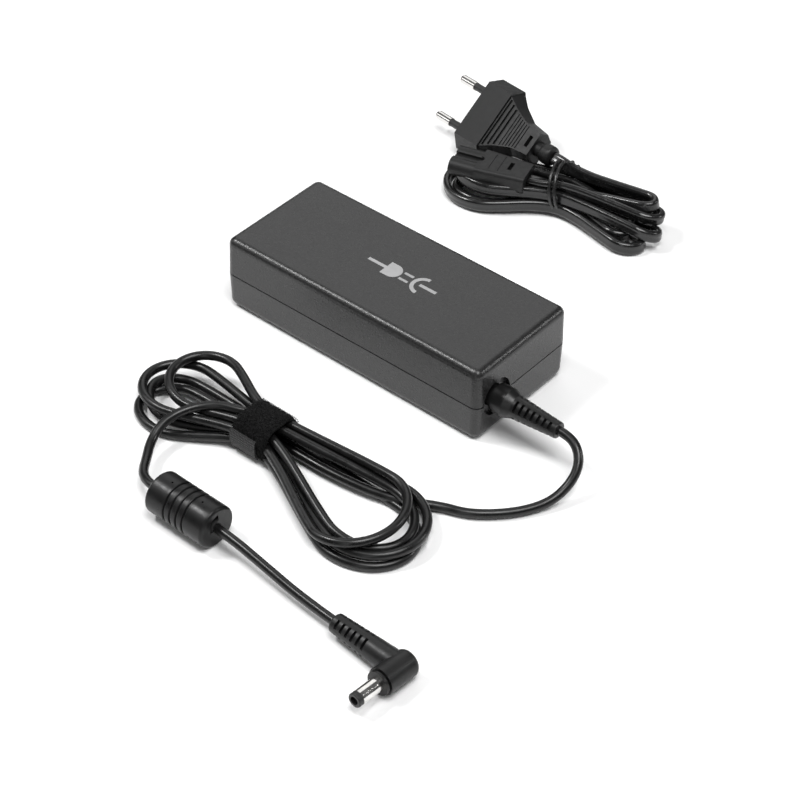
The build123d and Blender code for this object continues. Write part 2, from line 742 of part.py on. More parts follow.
def ferrite_bead():
    """The ferrite core and the moulded jacket that closes over it."""
    core_start = (FERRITE_LONG - CORE_LONG) / 2
    with BuildPart() as core:
        with BuildSketch(FERRITE_FACE.offset(core_start)):
            Circle(CORE_R)
            Circle(CORE_BORE_R, mode=Mode.SUBTRACT)
        extrude(amount=CORE_LONG)
    save(core, "ferrite_core")
    with BuildPart() as jacket:
        with BuildSketch(FERRITE_FACE):
            Circle(FERRITE_R)
        extrude(amount=FERRITE_LONG)
        fillet(jacket.edges().filter_by(GeomType.CIRCLE), FERRITE_ROUND)
        first = FERRITE_LONG / 2 - (GROOVE_COUNT - 1) * GROOVE_PITCH / 2 - GROOVE_WIDE / 2
        for index in range(GROOVE_COUNT):
            with BuildSketch(FERRITE_FACE.offset(first + index * GROOVE_PITCH)):
                Circle(FERRITE_R + 1)
                Circle(FERRITE_R - GROOVE_DEEP, mode=Mode.SUBTRACT)
            extrude(amount=GROOVE_WIDE, mode=Mode.SUBTRACT)
        rims = jacket.edges().filter_by(GeomType.CIRCLE)
        fillet([rim for rim in rims if abs(rim.radius - FERRITE_R) < 0.01], GROOVE_ROUND)
        for start in (PINHOLES_FROM_END, FERRITE_LONG - PINHOLES_FROM_END):
            for turn in range(3):
                spot = FERRITE_FACE.offset(start).rotated((0, 0, PINHOLE_TURN + turn * 120))
                with Locations(spot.location * Location((FERRITE_R, 0, 0))):
                    Cylinder(PINHOLE_R, 2 * PINHOLE_DEEP, rotation=(0, 90, 0), mode=Mode.SUBTRACT)
        for start in (0, FERRITE_LONG - END_RING_DEEP):
            with BuildSketch(FERRITE_FACE.offset(start).rotated((0, 0, END_TURN))):
                Circle(END_RING_R)
                Circle(END_BOSS_R, mode=Mode.SUBTRACT)
                with Locations((-END_RING_R / 2, 0)):
                    Rectangle(END_RING_R, 2 * END_RING_R, mode=Mode.SUBTRACT)
                with Locations((0, END_RING_R), (0, -END_RING_R)):
                    Rectangle(END_SLOT_WIDE, END_RING_R)
            extrude(amount=END_RING_DEEP, mode=Mode.SUBTRACT)
        with BuildSketch(FERRITE_FACE):
            Circle(CORD_R + TONGUE_GAP / 2)
        extrude(amount=FERRITE_LONG, mode=Mode.SUBTRACT)
        with BuildSketch(FERRITE_FACE.offset(core_start)):
            Circle(CORE_R)
        extrude(amount=CORE_LONG, mode=Mode.SUBTRACT)
    save(jacket, "ferrite_jacket")


def dc_plug():
    """The right-angled DC plug: moulded housing, barrel, insulator and inner contact."""
    head = Plane(origin=(PLUG_X, HEAD_BACK_Y, PLUG_Z), x_dir=(1, 0, 0), z_dir=(0, -1, 0))
    head_long = HEAD_BACK_Y - HEAD_FACE_Y
    barrel_start = head_long + HEAD_STEP
    sleeve_end = barrel_start + BARREL_LONG - TIP_RING
    buried = 4.0
    with BuildPart() as barrel:
        with BuildSketch(head.offset(barrel_start)):
            Circle(BARREL_R)
        extrude(amount=sleeve_end - barrel_start)
        with BuildSketch(head.offset(barrel_start - buried)):
            Circle(BARREL_FLANGE_R)
        extrude(amount=buried - BARREL_FLANGE_SET)
        with BuildSketch(head.offset(barrel_start - buried)):
            Circle(BARREL_R - BARREL_WALL)
        extrude(amount=sleeve_end - barrel_start + buried, mode=Mode.SUBTRACT)
    save(barrel, "dc_plug_barrel", PLUG_MOVE)
    with BuildPart() as insulator:
        with BuildSketch(head.offset(barrel_start - buried)):
            Circle(BARREL_R - BARREL_WALL)
        extrude(amount=sleeve_end - barrel_start + buried)
        with BuildSketch(head.offset(sleeve_end)):
            Circle(TIP_RING_R)
        extrude(amount=TIP_RING)
        fillet(insulator.edges().filter_by(GeomType.CIRCLE).sort_by(Axis.Y)[0], 0.4)
        with BuildSketch(head.offset(barrel_start - buried)):
            Circle(CONTACT_R)
        extrude(amount=sleeve_end - barrel_start + buried + TIP_RING, mode=Mode.SUBTRACT)
    save(insulator, "dc_plug_insulator", PLUG_MOVE)
    with BuildPart() as contact:
        with BuildSketch(head.offset(sleeve_end - CONTACT_LONG)):
            Circle(CONTACT_R)
            Circle(CONTACT_BORE_R, mode=Mode.SUBTRACT)
        extrude(amount=CONTACT_LONG)
        with BuildSketch(head.offset(sleeve_end - CONTACT_LONG / 2)):
            Rectangle(CONTACT_SLIT, 3 * CONTACT_R)
        extrude(amount=CONTACT_LONG, mode=Mode.SUBTRACT)
    save(contact, "dc_plug_contact", PLUG_MOVE)
    boot_side = Plane(origin=(0, PLUG_Y, PLUG_Z), x_dir=(1, 0, 0), z_dir=(0, -1, 0))
    windows = boot_windows(
        Plane(origin=(0, PLUG_Y, PLUG_Z), x_dir=(0, 1, 0), z_dir=(1, 0, 0)),
        PLUG_WINDOW_FIRST,
        PLUG_WINDOWS,
        PLUG_WINDOW_PITCH,
        PLUG_WINDOW_WIDE,
        PLUG_BOOT_END_R,
    )
    with BuildPart() as housing:
        with BuildSketch(head):
            Circle(HEAD_R)
        extrude(amount=head_long)
        fillet(housing.faces().sort_by(Axis.Y)[-1].edges(), HEAD_ROUND)
        with BuildSketch(boot_side):
            with BuildLine():
                Polyline(
                    (PLUG_BOOT_START, 0),
                    (PLUG_BOOT_START, PLUG_BOOT_START_R),
                    (PLUG_X - HEAD_R, PLUG_BOOT_END_R),
                    (PLUG_X, PLUG_BOOT_END_R),
                    (PLUG_X, 0),
                    close=True,
                )
            make_face()
        revolve(axis=Axis((0, PLUG_Y, PLUG_Z), (1, 0, 0)))
        fillet(housing.edges().filter_by(GeomType.CIRCLE).sort_by(Axis.X)[0], 0.8)
        add(windows, mode=Mode.SUBTRACT)
        with BuildSketch(head.offset(head_long)):
            Circle(HEAD_NECK_R)
        extrude(amount=HEAD_GAP)
        with BuildSketch(head.offset(head_long + HEAD_GAP)):
            Circle(HEAD_STEP_R)
        extrude(amount=HEAD_STEP - HEAD_GAP)
        add(barrel.part, mode=Mode.SUBTRACT)
        add(insulator.part, mode=Mode.SUBTRACT)
        add(contact.part, mode=Mode.SUBTRACT)
        with BuildSketch(head.offset(barrel_start - buried)):
            Circle(CONTACT_R)
        extrude(amount=buried, mode=Mode.SUBTRACT)
    save(housing, "dc_plug_housing", PLUG_MOVE)


# ---------------------------------------------------------------- mains lead


def mains_hank():
    """Outer form of the folded mains cord, with the stubs that reach the plug and connector."""
    neck_mid = HANK_BUNDLE_LOW + HANK_BUNDLE_TALL / 2
    with BuildPart() as hank:
        for centre, radius, tall, side in (
            (HANK_LEFT, HANK_LEFT_R, HANK_LEFT_TALL, -1),
            (HANK_RIGHT, HANK_RIGHT_R, HANK_RIGHT_TALL, 1),
        ):
            with BuildSketch(HANK_PLANE):
                with Locations(centre):
                    Circle(radius)
                with Locations((side * (HANK_NECK_LONG / 2 - 1), 0)):
                    Rectangle(2, HANK_BUNDLE_WIDE)
                make_hull()
            extrude(amount=tall)
        with BuildSketch(HANK_PLANE):
            Rectangle(HANK_NECK_LONG, 3 * HANK_BUNDLE_WIDE)
        extrude(amount=2 * HANK_BUNDLE_TALL, mode=Mode.SUBTRACT)
        with BuildSketch(HANK_ACROSS.offset(-HANK_NECK_LONG / 2)):
            with Locations((0, neck_mid)):
                RectangleRounded(HANK_BUNDLE_WIDE, HANK_BUNDLE_TALL, HANK_BUNDLE_ROUND)
        extrude(amount=HANK_NECK_LONG)
        for rear, direction, reach in (
            (PLUG_REAR, PLUG_PIN_DIR, PLUG_STUB),
            (C7_REAR, C7_NOSE_DIR, C7_STUB),
        ):
            with BuildSketch(Plane(origin=rear, z_dir=-Vector(*direction))):
                Circle(MAINS_CORD_R)
            extrude(amount=reach)
    save(hank, "mains_cord_hank")


def twist_tie():
    """The coated wire tie round the middle of the hank."""
    neck_mid = HANK_BUNDLE_LOW + HANK_BUNDLE_TALL / 2
    with BuildPart() as tie:
        with BuildSketch(HANK_ACROSS.offset(-TIE_WIDE / 2)):
            with Locations((0, neck_mid)):
                RectangleRounded(
                    HANK_BUNDLE_WIDE + 2 * TIE_THICK,
                    HANK_BUNDLE_TALL + 2 * TIE_THICK,
                    HANK_BUNDLE_ROUND + TIE_THICK,
                )
                RectangleRounded(
                    HANK_BUNDLE_WIDE, HANK_BUNDLE_TALL, HANK_BUNDLE_ROUND, mode=Mode.SUBTRACT
                )
        extrude(amount=TIE_WIDE)
    save(tie, "twist_tie")


def hexagon_section(behind, wide, flat, thick):
    """One cross section of the mains plug's body, a stretched hexagon."""
    with BuildSketch(PLUG_FACE.offset(-behind)) as section:
        with BuildLine():
            Polyline(
                (-wide / 2, 0),
                (-flat / 2, thick / 2),
                (flat / 2, thick / 2),
                (wide / 2, 0),
                (flat / 2, -thick / 2),
                (-flat / 2, -thick / 2),
                close=True,
            )
        make_face()
    return section.sketch


def mains_plug_pin(name, side):
    """One contact pin: a bare tip, and a thinner shank that runs on into the body."""
    x = side * PLUG_PIN_PITCH / 2
    bare = PLUG_PIN_OUT - PLUG_SLEEVE_OUT
    with BuildPart() as pin:
        with BuildSketch(PLUG_FACE.offset(PLUG_SLEEVE_OUT)):
            with Locations((x, 0)):
                Circle(PLUG_PIN_R)
        extrude(amount=bare)
        fillet(pin.faces().sort_by(PLUG_PIN_AXIS)[-1].edges(), PLUG_PIN_R / 2)
        with BuildSketch(PLUG_FACE.offset(-PLUG_PIN_IN)):
            with Locations((x, 0)):
                Circle(PLUG_PIN_CORE_R)
        extrude(amount=PLUG_PIN_IN + PLUG_SLEEVE_OUT)
    save(pin, f"mains_plug_pin_{name}")
    with BuildPart() as sleeve:
        with BuildSketch(PLUG_FACE.offset(-PLUG_PIN_IN / 2)):
            with Locations((x, 0)):
                Circle(PLUG_SLEEVE_R)
                Circle(PLUG_PIN_CORE_R, mode=Mode.SUBTRACT)
        extrude(amount=PLUG_PIN_IN / 2 + PLUG_SLEEVE_OUT)
    save(sleeve, f"mains_plug_sleeve_{name}")
    return pin.part, sleeve.part


def flex_slots(face, behind, thick):
    """Where the two flex slots of a moulded relief are cut, one in each broad side."""
    middle = face.offset(-behind)
    return [middle.location * Location((0, side * thick / 2, 0)) for side in (1, -1)]


def plug_body_at(behind):
    """Width of the flat and thickness of the mains plug's body, so far behind its face."""
    for near, far in zip(PLUG_SECTIONS, PLUG_SECTIONS[1:]):
        if behind <= far[0]:
            share = (behind - near[0]) / (far[0] - near[0])
            return tuple(a + (b - a) * share for a, b in zip(near[2:], far[2:]))
    return PLUG_SECTIONS[-1][2:]


def mains_plug():
    """The flat plug's moulded body, its two pins and their insulating sleeves."""
    inner = []
    for name, side in (("upper", -1), ("lower", 1)):
        inner += mains_plug_pin(name, side)
    front = hexagon_section(0, PLUG_WIDE, PLUG_FLAT, PLUG_THICK)
    flare = [hexagon_section(*section) for section in PLUG_SECTIONS]
    with BuildPart() as knob:
        with BuildSketch(PLUG_FACE.offset(-PLUG_RELIEF_END)):
            Circle(PLUG_KNOB_R)
        extrude(amount=PLUG_RELIEF_END - PLUG_LONG)
        fillet(knob.edges().filter_by(GeomType.CIRCLE), PLUG_KNOB_ROUND)
    with BuildPart() as body:
        extrude(front, amount=-PLUG_BLOCK)
        loft(flare, ruled=True)
        for grip_first, count, pitch, wide, deep in PLUG_GRIPS:
            for index in range(count):
                at = grip_first + index * pitch
                flat, thick = plug_body_at(at + wide / 2)
                with BuildSketch(PLUG_FACE.offset(-at)):
                    with Locations((0, thick / 2), (0, -thick / 2)):
                        Rectangle(flat - 1.0, 2 * deep)
                extrude(amount=-wide, mode=Mode.SUBTRACT)
        with BuildSketch(PLUG_FACE.offset(-PLUG_SECTIONS[-1][0])):
            Circle(PLUG_KNOB_R - 1)
        extrude(amount=PLUG_RELIEF_END - PLUG_LONG - 1)
        add(knob.part)
        with Locations(flex_slots(PLUG_FACE, PLUG_SLOT_AT, plug_body_at(PLUG_SLOT_AT)[1])):
            Box(SLOT_WIDE, SLOT_DEEP * 2, SLOT_LONG, mode=Mode.SUBTRACT)
        for part in inner:
            add(part, mode=Mode.SUBTRACT)
    save(body, "mains_plug_body")


def mains_connector():
    """The figure-8 connector: its moulded body and the two contact tubes in its nose."""
    with BuildPart() as contacts:
        with BuildSketch(C7_FACE.offset(-C7_CONTACT_LONG)):
            with Locations((-PIN_PITCH / 2, 0), (PIN_PITCH / 2, 0)):
                Circle(C7_CONTACT_R)
                Circle(C7_CONTACT_BORE_R, mode=Mode.SUBTRACT)
        extrude(amount=C7_CONTACT_LONG - 0.5)
    save(contacts, "mains_connector_contacts")
    with BuildPart() as body:
        with BuildSketch(C7_FACE.offset(-C7_NOSE)):
            RectangleRounded(C7_FRONT_WIDE, C7_FRONT_THICK, C7_ROUND)
        with BuildSketch(C7_FACE.offset(-C7_LONG)):
            RectangleRounded(C7_REAR_WIDE, C7_REAR_THICK, C7_ROUND)
        loft()
        with BuildSketch(C7_FACE.offset(-C7_NOSE)):
            socket_outline(C7_LOBE_R, C7_WAIST, PIN_PITCH)
        extrude(amount=C7_NOSE)
        with BuildSketch(C7_FACE.offset(-C7_CONTACT_LONG)):
            with Locations((-PIN_PITCH / 2, 0), (PIN_PITCH / 2, 0)):
                Circle(C7_CONTACT_R)
        extrude(amount=C7_CONTACT_LONG, mode=Mode.SUBTRACT)
        for spot in flex_slots(C7_FACE, C7_NOSE, 2 * C7_LOBE_R):
            with Locations(spot):
                Cylinder(
                    C7_CHANNEL_WIDE / 2,
                    2 * C7_CHANNEL_DEEP,
                    rotation=(90, 0, 0),
                    mode=Mode.SUBTRACT,
                )
            with Locations(spot * Location((0, 0, C7_NOSE / 2))):
                Box(C7_CHANNEL_WIDE, 2 * C7_CHANNEL_DEEP, C7_NOSE, mode=Mode.SUBTRACT)
        for at in C7_LINES_AT:
            with Locations(flex_slots(C7_FACE, at, C7_FRONT_THICK)):
                Box(C7_REAR_WIDE - 3, 2 * C7_LINE_DEEP, C7_LINE_WIDE, mode=Mode.SUBTRACT)
        with Locations(flex_slots(C7_FACE, C7_LONG - C7_SLOT_AT, C7_REAR_THICK)):
            Box(SLOT_WIDE, SLOT_DEEP * 2, SLOT_LONG, mode=Mode.SUBTRACT)
    save(body, "mains_connector_body")


upper_shell()
lower_shell()
rating_label()
board_stack()
mains_inlet()
electronics()
output_wires()
dc_strain_relief()
dc_hank()
cable_strap()
ferrite_bead()
dc_plug()
cord_tube("dc_cord_lead", LEAD_ROUTE, CORD_R)
cord_tube("dc_cord_link", LINK_ROUTE, CORD_R)
cord_tube("dc_cord_tail", TAIL_ROUTE, CORD_R)
mains_hank()
twist_tie()
mains_plug()
mains_connector()
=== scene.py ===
import json
import math
import random

import bmesh
import bpy
import numpy as np
from mathutils import Matrix, Vector
from mathutils import noise


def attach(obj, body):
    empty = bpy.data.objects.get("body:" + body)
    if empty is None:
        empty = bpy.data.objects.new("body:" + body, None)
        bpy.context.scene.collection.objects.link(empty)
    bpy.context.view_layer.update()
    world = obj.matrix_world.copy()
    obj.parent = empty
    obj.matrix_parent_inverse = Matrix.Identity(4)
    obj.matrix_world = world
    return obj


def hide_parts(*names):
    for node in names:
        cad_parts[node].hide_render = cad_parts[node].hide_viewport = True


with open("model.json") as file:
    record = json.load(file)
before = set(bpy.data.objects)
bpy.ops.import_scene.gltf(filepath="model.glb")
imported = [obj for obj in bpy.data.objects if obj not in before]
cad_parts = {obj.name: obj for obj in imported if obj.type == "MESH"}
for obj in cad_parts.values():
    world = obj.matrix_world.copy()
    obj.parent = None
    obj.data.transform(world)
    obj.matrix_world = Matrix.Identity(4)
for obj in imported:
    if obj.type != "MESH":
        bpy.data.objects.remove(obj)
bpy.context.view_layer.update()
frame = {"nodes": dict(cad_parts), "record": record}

# Laptop power adapter: its materials, its two cords, the hook-and-loop strap, the wire tie and
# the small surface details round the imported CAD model. Lengths are millimetres until they reach
# a mesh or a curve, where MM turns them into metres.
MM = 0.001

# ---------------------------------------------------------------- dimensions

BRICK_TALL = 32.5

# DC cord, from the brick's strain relief to the plug's
CORD_D = 3.6
LEAD_ROUTE = [
    (91.0, -15.5, 16.0),
    (95.8, -15.5, 16.0),
    (101.4, -17.7, 14.1),
    (104.7, -21.9, 10.4),
    (104.9, -27.6, 6.0),
    (103.0, -35.2, 2.7),
    (98.8, -43.8, 2.0),
    (92.0, -52.2, 2.0),
    (83.5, -59.0, 2.0),
    (75.0, -61.7, 2.0),
]
LINK_ROUTE = [
    (-7.5, -79.3, 11.6),
    (-13.4, -81.3, 11.8),
    (-19.6, -86.2, 11.2),
    (-23.8, -93.4, 10.2),
    (-24.9, -101.0, 9.2),
    (-23.2, -108.4, 6.6),
    (-18.6, -115.2, 5.8),
    (-13.4, -122.3, 6.9),
    (-7.2, -125.293, 8.2),
    (-1.2, -125.4, 8.2),
]
TAIL_ROUTE = [
    (-1.2, -125.4, 8.2),
    (31.8, -125.989, 8.2),
    (51.0, -127.8, 6.8),
    (69.0, -129.46, 5.2),
    (85.0, -130.3, 5.2),
]

# Ferrite bead: it starts at the tail's first point. Its end recesses lie between two distances
# from its middle, inside one radius; the faces there take painted shade
BEAD_LONG = 28.0
BEAD_ALONG = Vector((1, -0.0179, 0))
BEAD_RECESS = (11.2, 13.9)
BEAD_RECESS_R = 6.5

# Hank of the DC cord: where each strand lies in the strap (y, z), and the loop that joins one
# strand to the next at each end: centre, radii, and heights at its start, middle and end
STRAP_X0, STRAP_X1 = -2.0, 12.0
STRAP_ROOM = ((-3.5, 13.5), (-84.4, -71.6), (3.2, 12.4))
BACK_STRANDS = [(-76.0, 3.4), (-72.2, 3.6), (-72.0, 7.4), (-73.0, 11.2), (-77.2, 11.8)]
FRONT_STRANDS = [(-83.8, 4.2), (-79.8, 3.4), (-83.8, 8.0), (-81.2, 11.4)]
LEFT_LOOPS = [
    ((-31.5, -88.0), (15.5, 11.5), (4.5, 2.0, 2.2)),
    ((-32.0, -83.0), (14.5, 11.0), (3.5, 3.5, 3.0)),
    ((-34.5, -80.5), (16.0, 13.5), (7.5, 6.5, 6.5)),
    ((-28.5, -74.5), (14.5, 13.0), (12.5, 11.0, 9.0)),
]
RIGHT_LOOPS = [
    ((61.5, -88.5), (20.5, 17.0), (2.4, 1.9, 2.2)),
    ((62.0, -84.5), (20.5, 18.5), (4.5, 5.5, 5.0)),
    ((56.5, -86.5), (17.5, 19.0), (5.5, 8.5, 9.0)),
    ((59.0, -84.5), (19.0, 15.5), (5.5, 3.5, 6.0)),
]

# Mains cord: a flat twin cord that stands on edge in its hank. The hank has its own axes:
# s runs along it, t across it, z is up
MAINS_WIDE, MAINS_THICK = 5.4, 3.3
MAINS_PITCH_WIDE, MAINS_PITCH_THICK = 5.6, 3.5
HANK_CENTRE = Vector((-2.5, 111.0, 0.0))
HANK_ALONG = Vector((0.963, 0.27, 0.0))
HANK_ACROSS = Vector((-0.27, 0.963, 0.0))
TIE_HALF = 6.0
TIE_R = 0.75
END_STUB = 4.5
C7_REAR, C7_OUT = Vector((-13.7, 102.4, 13.0)), Vector((0.96, 0.28, 0.0))
C7_WIDTH = Vector((0.28, -0.96, 0.0))
PLUG_REAR, PLUG_OUT = Vector((-11.5, 116.0, 17.5)), Vector((0.9835, -0.1717, 0.0523))
PLUG_WIDTH = Vector((-0.0975, -0.7558, -0.6476))
MAINS_FRONT = [(-4.6, 13.6), (-7.2, 4.2), (-7.0, 9.2), (-2.6, 4.2), (-2.4, 9.6)]
MAINS_BACK = [(6.4, 9.8), (2.0, 4.2), (6.4, 4.2), (2.0, 9.8), (3.6, 15.2)]
MAINS_RIGHT = [
    ((37.5, -4.3), (7.0, 4.6), (12.5, 11.0, 9.8)),
    ((33.0, -14.4), (7.5, 5.6), (4.0, 2.9, 3.2)),
    ((38.5, -9.7), (7.0, 4.8), (8.6, 6.0, 4.4)),
    ((28.0, -10.9), (6.0, 4.6), (5.0, 5.5, 6.0)),
    ((35.0, -2.8), (6.0, 4.0), (13.5, 15.0, 15.2)),
]
MAINS_LEFT = [
    ((-33.0, -7.5), (15.0, 11.0), (8.0, 3.4, 3.6)),
    ((-30.0, -6.0), (13.0, 8.5), (5.0, 8.6, 9.0)),
    ((-30.0, -8.5), (14.0, 9.0), (6.0, 3.2, 3.2)),
    ((-27.5, -4.0), (10.5, 7.0), (9.0, 9.0, 9.0)),
]

# Points along each loop of either hank
LOOP_POINTS = 9

# Strap: its span along the hank, the middle and size of the bundle it closes round
STRAP_SPAN = (-3.0, 13.0)
STRAP_MIDDLE = (-78.0, 7.8)
BUNDLE_WIDE, BUNDLE_TALL, BUNDLE_ROUND = 16.4, 12.8, 5.6
STRAP_THICK = 1.4
STRAP_POINTS = 160

# ---------------------------------------------------------------- camera


def add_camera():
    """The view from the front right, well above the object."""
    data = bpy.data.cameras.new("camera")
    data.lens = 100.64
    data.sensor_width = 36.0
    data.clip_start = 0.01
    data.clip_end = 20.0
    camera = bpy.data.objects.new("camera", data)
    right = Vector((0.7646, 0.6444, 0.0125)).normalized()
    back = Vector((0.4768, -0.5785, 0.6617)).normalized()
    up = back.cross(right)
    axes = Matrix((right, up, back)).transposed().to_4x4()
    camera.matrix_world = Matrix.Translation(Vector((424.7, -510.5, 554.0)) * MM) @ axes
    bpy.context.collection.objects.link(camera)
    bpy.context.scene.camera = camera


add_camera()

# ---------------------------------------------------------------- how a cord is laid


def touch_angle(loop, strand, side):
    """Where on a loop's ellipse a straight strand that ends at a point outside just touches it."""
    centre, radii = loop[:2]
    along = (strand[0] - centre[0]) / radii[0]
    across = (strand[1] - centre[1]) / radii[1]
    return math.atan2(across, along) + side * math.acos(1 / max(1.0, math.hypot(along, across)))


def loop_points(loop, strand_in, strand_out):
    """Points along one anticlockwise loop of a hank, from where the strand that comes in meets
    its ellipse to where the strand that goes out leaves it. Its height changes on the way."""
    centre, radii, (z_start, z_middle, z_end) = loop
    start = touch_angle(loop, strand_in, 1)
    stop = touch_angle(loop, strand_out, -1)
    stop = start + (stop - start) % (2 * math.pi)
    points = []
    for step in range(LOOP_POINTS):
        share = step / (LOOP_POINTS - 1)
        angle = start + (stop - start) * share
        hump = (z_middle - (z_start + z_end) / 2) * math.sin(math.pi * share)
        points.append((
            centre[0] + radii[0] * math.cos(angle),
            centre[1] + radii[1] * math.sin(angle),
            z_start + (z_end - z_start) * share + hump,
        ))
    return points


def spline_weights(count, fine):
    """What each control point of a quadratic clamped B-spline adds to each fine point."""
    spans = count - 2
    knots = [0.0, 0.0] + [float(k) for k in range(spans + 1)] + [float(spans)] * 2
    rows = np.zeros((spans * fine + 1, count))
    for row in range(len(rows)):
        at = row / fine
        span = min(int(at), spans - 1) + 2
        weights = [1.0]
        for degree in (1, 2):
            longer = [0.0] * (degree + 1)
            for j in range(degree):
                left = knots[span - degree + 1 + j]
                right = knots[span + 1 + j]
                share = (at - left) / (right - left)
                longer[j] += weights[j] * (1 - share)
                longer[j + 1] += weights[j] * share
            weights = longer
        rows[row, span - 2:span + 1] = weights
    return rows


def settle(points, first, last, apart, lowest, squeeze=1.0, room=None, rounds=150):
    """Pushes the strands of a hank apart until none lies in another, and up off the surface.
    squeeze scales heights while distances are measured, for a flat cord standing on edge."""
    scale = np.array([1.0, 1.0, squeeze])
    points = np.array(points, float) * scale
    rest = points.copy()
    weights = spline_weights(len(points), 6)
    spread = weights.T / weights.T.sum(axis=1, keepdims=True)
    free = np.zeros((len(points), 1))
    free[first:last] = 1.0
    for _ in range(rounds):
        line = weights @ points
        runs = np.linalg.norm(np.diff(line, axis=0), axis=1)
        along = np.concatenate([[0.0], np.cumsum(runs)])
        gap = line[:, None, :] - line[None, :, :]
        distance = np.linalg.norm(gap, axis=2)
        near = (distance < apart) & (np.abs(along[:, None] - along[None, :]) > 3 * apart)
        push = np.where(near, (apart - distance) / np.maximum(distance, 0.05), 0.0)
        move = (push[:, :, None] * gap).sum(axis=1) / (2 * np.maximum(near.sum(axis=1), 1)[:, None])
        move[:, 2] += np.maximum(lowest * squeeze - line[:, 2], 0.0)
        if room:
            (x0, x1), sides, heights = room
            held = (line[:, 0] > x0) & (line[:, 0] < x1)
            for axis, (low, high) in ((1, sides), (2, heights)):
                back_in = np.clip(line[:, axis], low, high) - line[:, axis]
                move[:, axis] += np.where(held, back_in, 0.0)
        offset = points - rest
        even = np.zeros_like(points)
        even[1:-1] = (offset[:-2] + offset[2:]) / 2 - offset[1:-1]
        points = points + free * (1.5 * (spread @ move) + 0.3 * even - 0.02 * offset)
    return [tuple(p) for p in points / scale]


def nurbs_curve(name, points):
    """An open NURBS spline pulled towards its control points, ends included."""
    curve = bpy.data.curves.new(name, "CURVE")
    curve.dimensions = "3D"
    spline = curve.splines.new("NURBS")
    spline.points.add(len(points) - 1)
    for slot, point in zip(spline.points, points):
        slot.co = (point[0] * MM, point[1] * MM, point[2] * MM, 1.0)
    spline.order_u = 3
    spline.use_endpoint_u = True
    spline.resolution_u = 10
    return curve


def read_line(curve):
    """The points that Blender itself draws a curve with."""
    probe = bpy.data.objects.new("probe", curve)
    mesh = bpy.data.meshes.new_from_object(probe)
    line = [v.co.copy() for v in mesh.vertices]
    bpy.data.objects.remove(probe)
    bpy.data.meshes.remove(mesh)
    return line


def line_length(line):
    return sum((b - a).length for a, b in zip(line, line[1:]))


def add_mesh(name, verts, faces, smooth=True):
    mesh = bpy.data.meshes.new(name)
    mesh.from_pydata([tuple(v) for v in verts], [], faces)
    mesh.update()
    for face in mesh.polygons:
        face.use_smooth = smooth
    piece = bpy.data.objects.new(name, mesh)
    bpy.context.collection.objects.link(piece)
    return piece


def dc_cord_points():
    """The DC cord's control points: lead, the hank's nine strands and eight loops, link, tail."""
    points = LEAD_ROUTE + [(60.0, -71.5, 2.4), (37.0, -75.8, 3.2)]
    first = len(LEAD_ROUTE)
    for turn in range(len(LEFT_LOOPS)):
        leftwards = [(x, *BACK_STRANDS[turn]) for x in (STRAP_X1, STRAP_X0)]
        rightwards = [(x, *FRONT_STRANDS[turn]) for x in (STRAP_X0, STRAP_X1)]
        onwards = (STRAP_X1, *BACK_STRANDS[turn + 1])
        points += leftwards
        points += loop_points(LEFT_LOOPS[turn], leftwards[-1], rightwards[0])
        points += rightwards
        points += loop_points(RIGHT_LOOPS[turn], rightwards[-1], onwards)
    points += [(x, *BACK_STRANDS[-1]) for x in (STRAP_X1, STRAP_X0)]
    last = len(points)
    points += LINK_ROUTE[:-1] + TAIL_ROUTE
    return settle(points, first, last, CORD_D + 0.1, CORD_D / 2 + 0.05, room=STRAP_ROOM)


def add_dc_cord():
    curve = nurbs_curve("dc_cord", dc_cord_points())
    long = line_length(read_line(curve))
    curve.bevel_depth = CORD_D / 2 * MM
    curve.bevel_resolution = 6
    curve.use_fill_caps = True
    cord = bpy.data.objects.new("dc_cord", curve)
    bpy.context.collection.objects.link(cord)
    return cord, long


def in_hank(point):
    s, t, z = point
    return tuple(HANK_CENTRE + s * HANK_ALONG + t * HANK_ACROSS + Vector((0, 0, z)))


def mains_cord_points():
    """The mains cord's control points, from the figure-8 connector to the plug."""
    points = [tuple(C7_REAR), tuple(C7_REAR + END_STUB * C7_OUT)]
    for turn, right in enumerate(MAINS_RIGHT):
        rightwards = (TIE_HALF, *MAINS_FRONT[turn])
        leftwards = (TIE_HALF, *MAINS_BACK[turn])
        if turn:
            points.append(in_hank((-TIE_HALF, *MAINS_FRONT[turn])))
        points.append(in_hank(rightwards))
        points += [in_hank(p) for p in loop_points(right, rightwards, leftwards)]
        points.append(in_hank(leftwards))
        if turn < len(MAINS_LEFT):
            back = (-TIE_HALF, *MAINS_BACK[turn])
            front = (-TIE_HALF, *MAINS_FRONT[turn + 1])
            points.append(in_hank(back))
            points += [in_hank(p) for p in loop_points(MAINS_LEFT[turn], back, front)]
    last = len(points)
    points += [tuple(PLUG_REAR + END_STUB * PLUG_OUT), tuple(PLUG_REAR)]
    squeeze = MAINS_PITCH_THICK / MAINS_PITCH_WIDE
    return settle(points, 2, last, MAINS_PITCH_THICK, MAINS_WIDE / 2 + 0.1, squeeze)


def twin_section():
    """The flat cord's outline: two round cores side by side, the web between them set in."""
    count = 28
    part_rate = 1.6
    web_deep, web_wide = 0.2, 0.55
    core = MAINS_THICK / 2
    offset = MAINS_WIDE / 2 - core
    outline = []
    for step in range(count):
        angle = 2 * math.pi * step / count
        across = math.cos(angle)
        side = math.copysign(1, across) if abs(across) > 1e-6 else 0
        wide = offset * side * min(1.0, abs(across) * part_rate) + core * across
        groove = 1 - web_deep * math.exp(-(wide / web_wide) ** 2)
        outline.append((wide, core * math.sin(angle) * groove))
    return outline


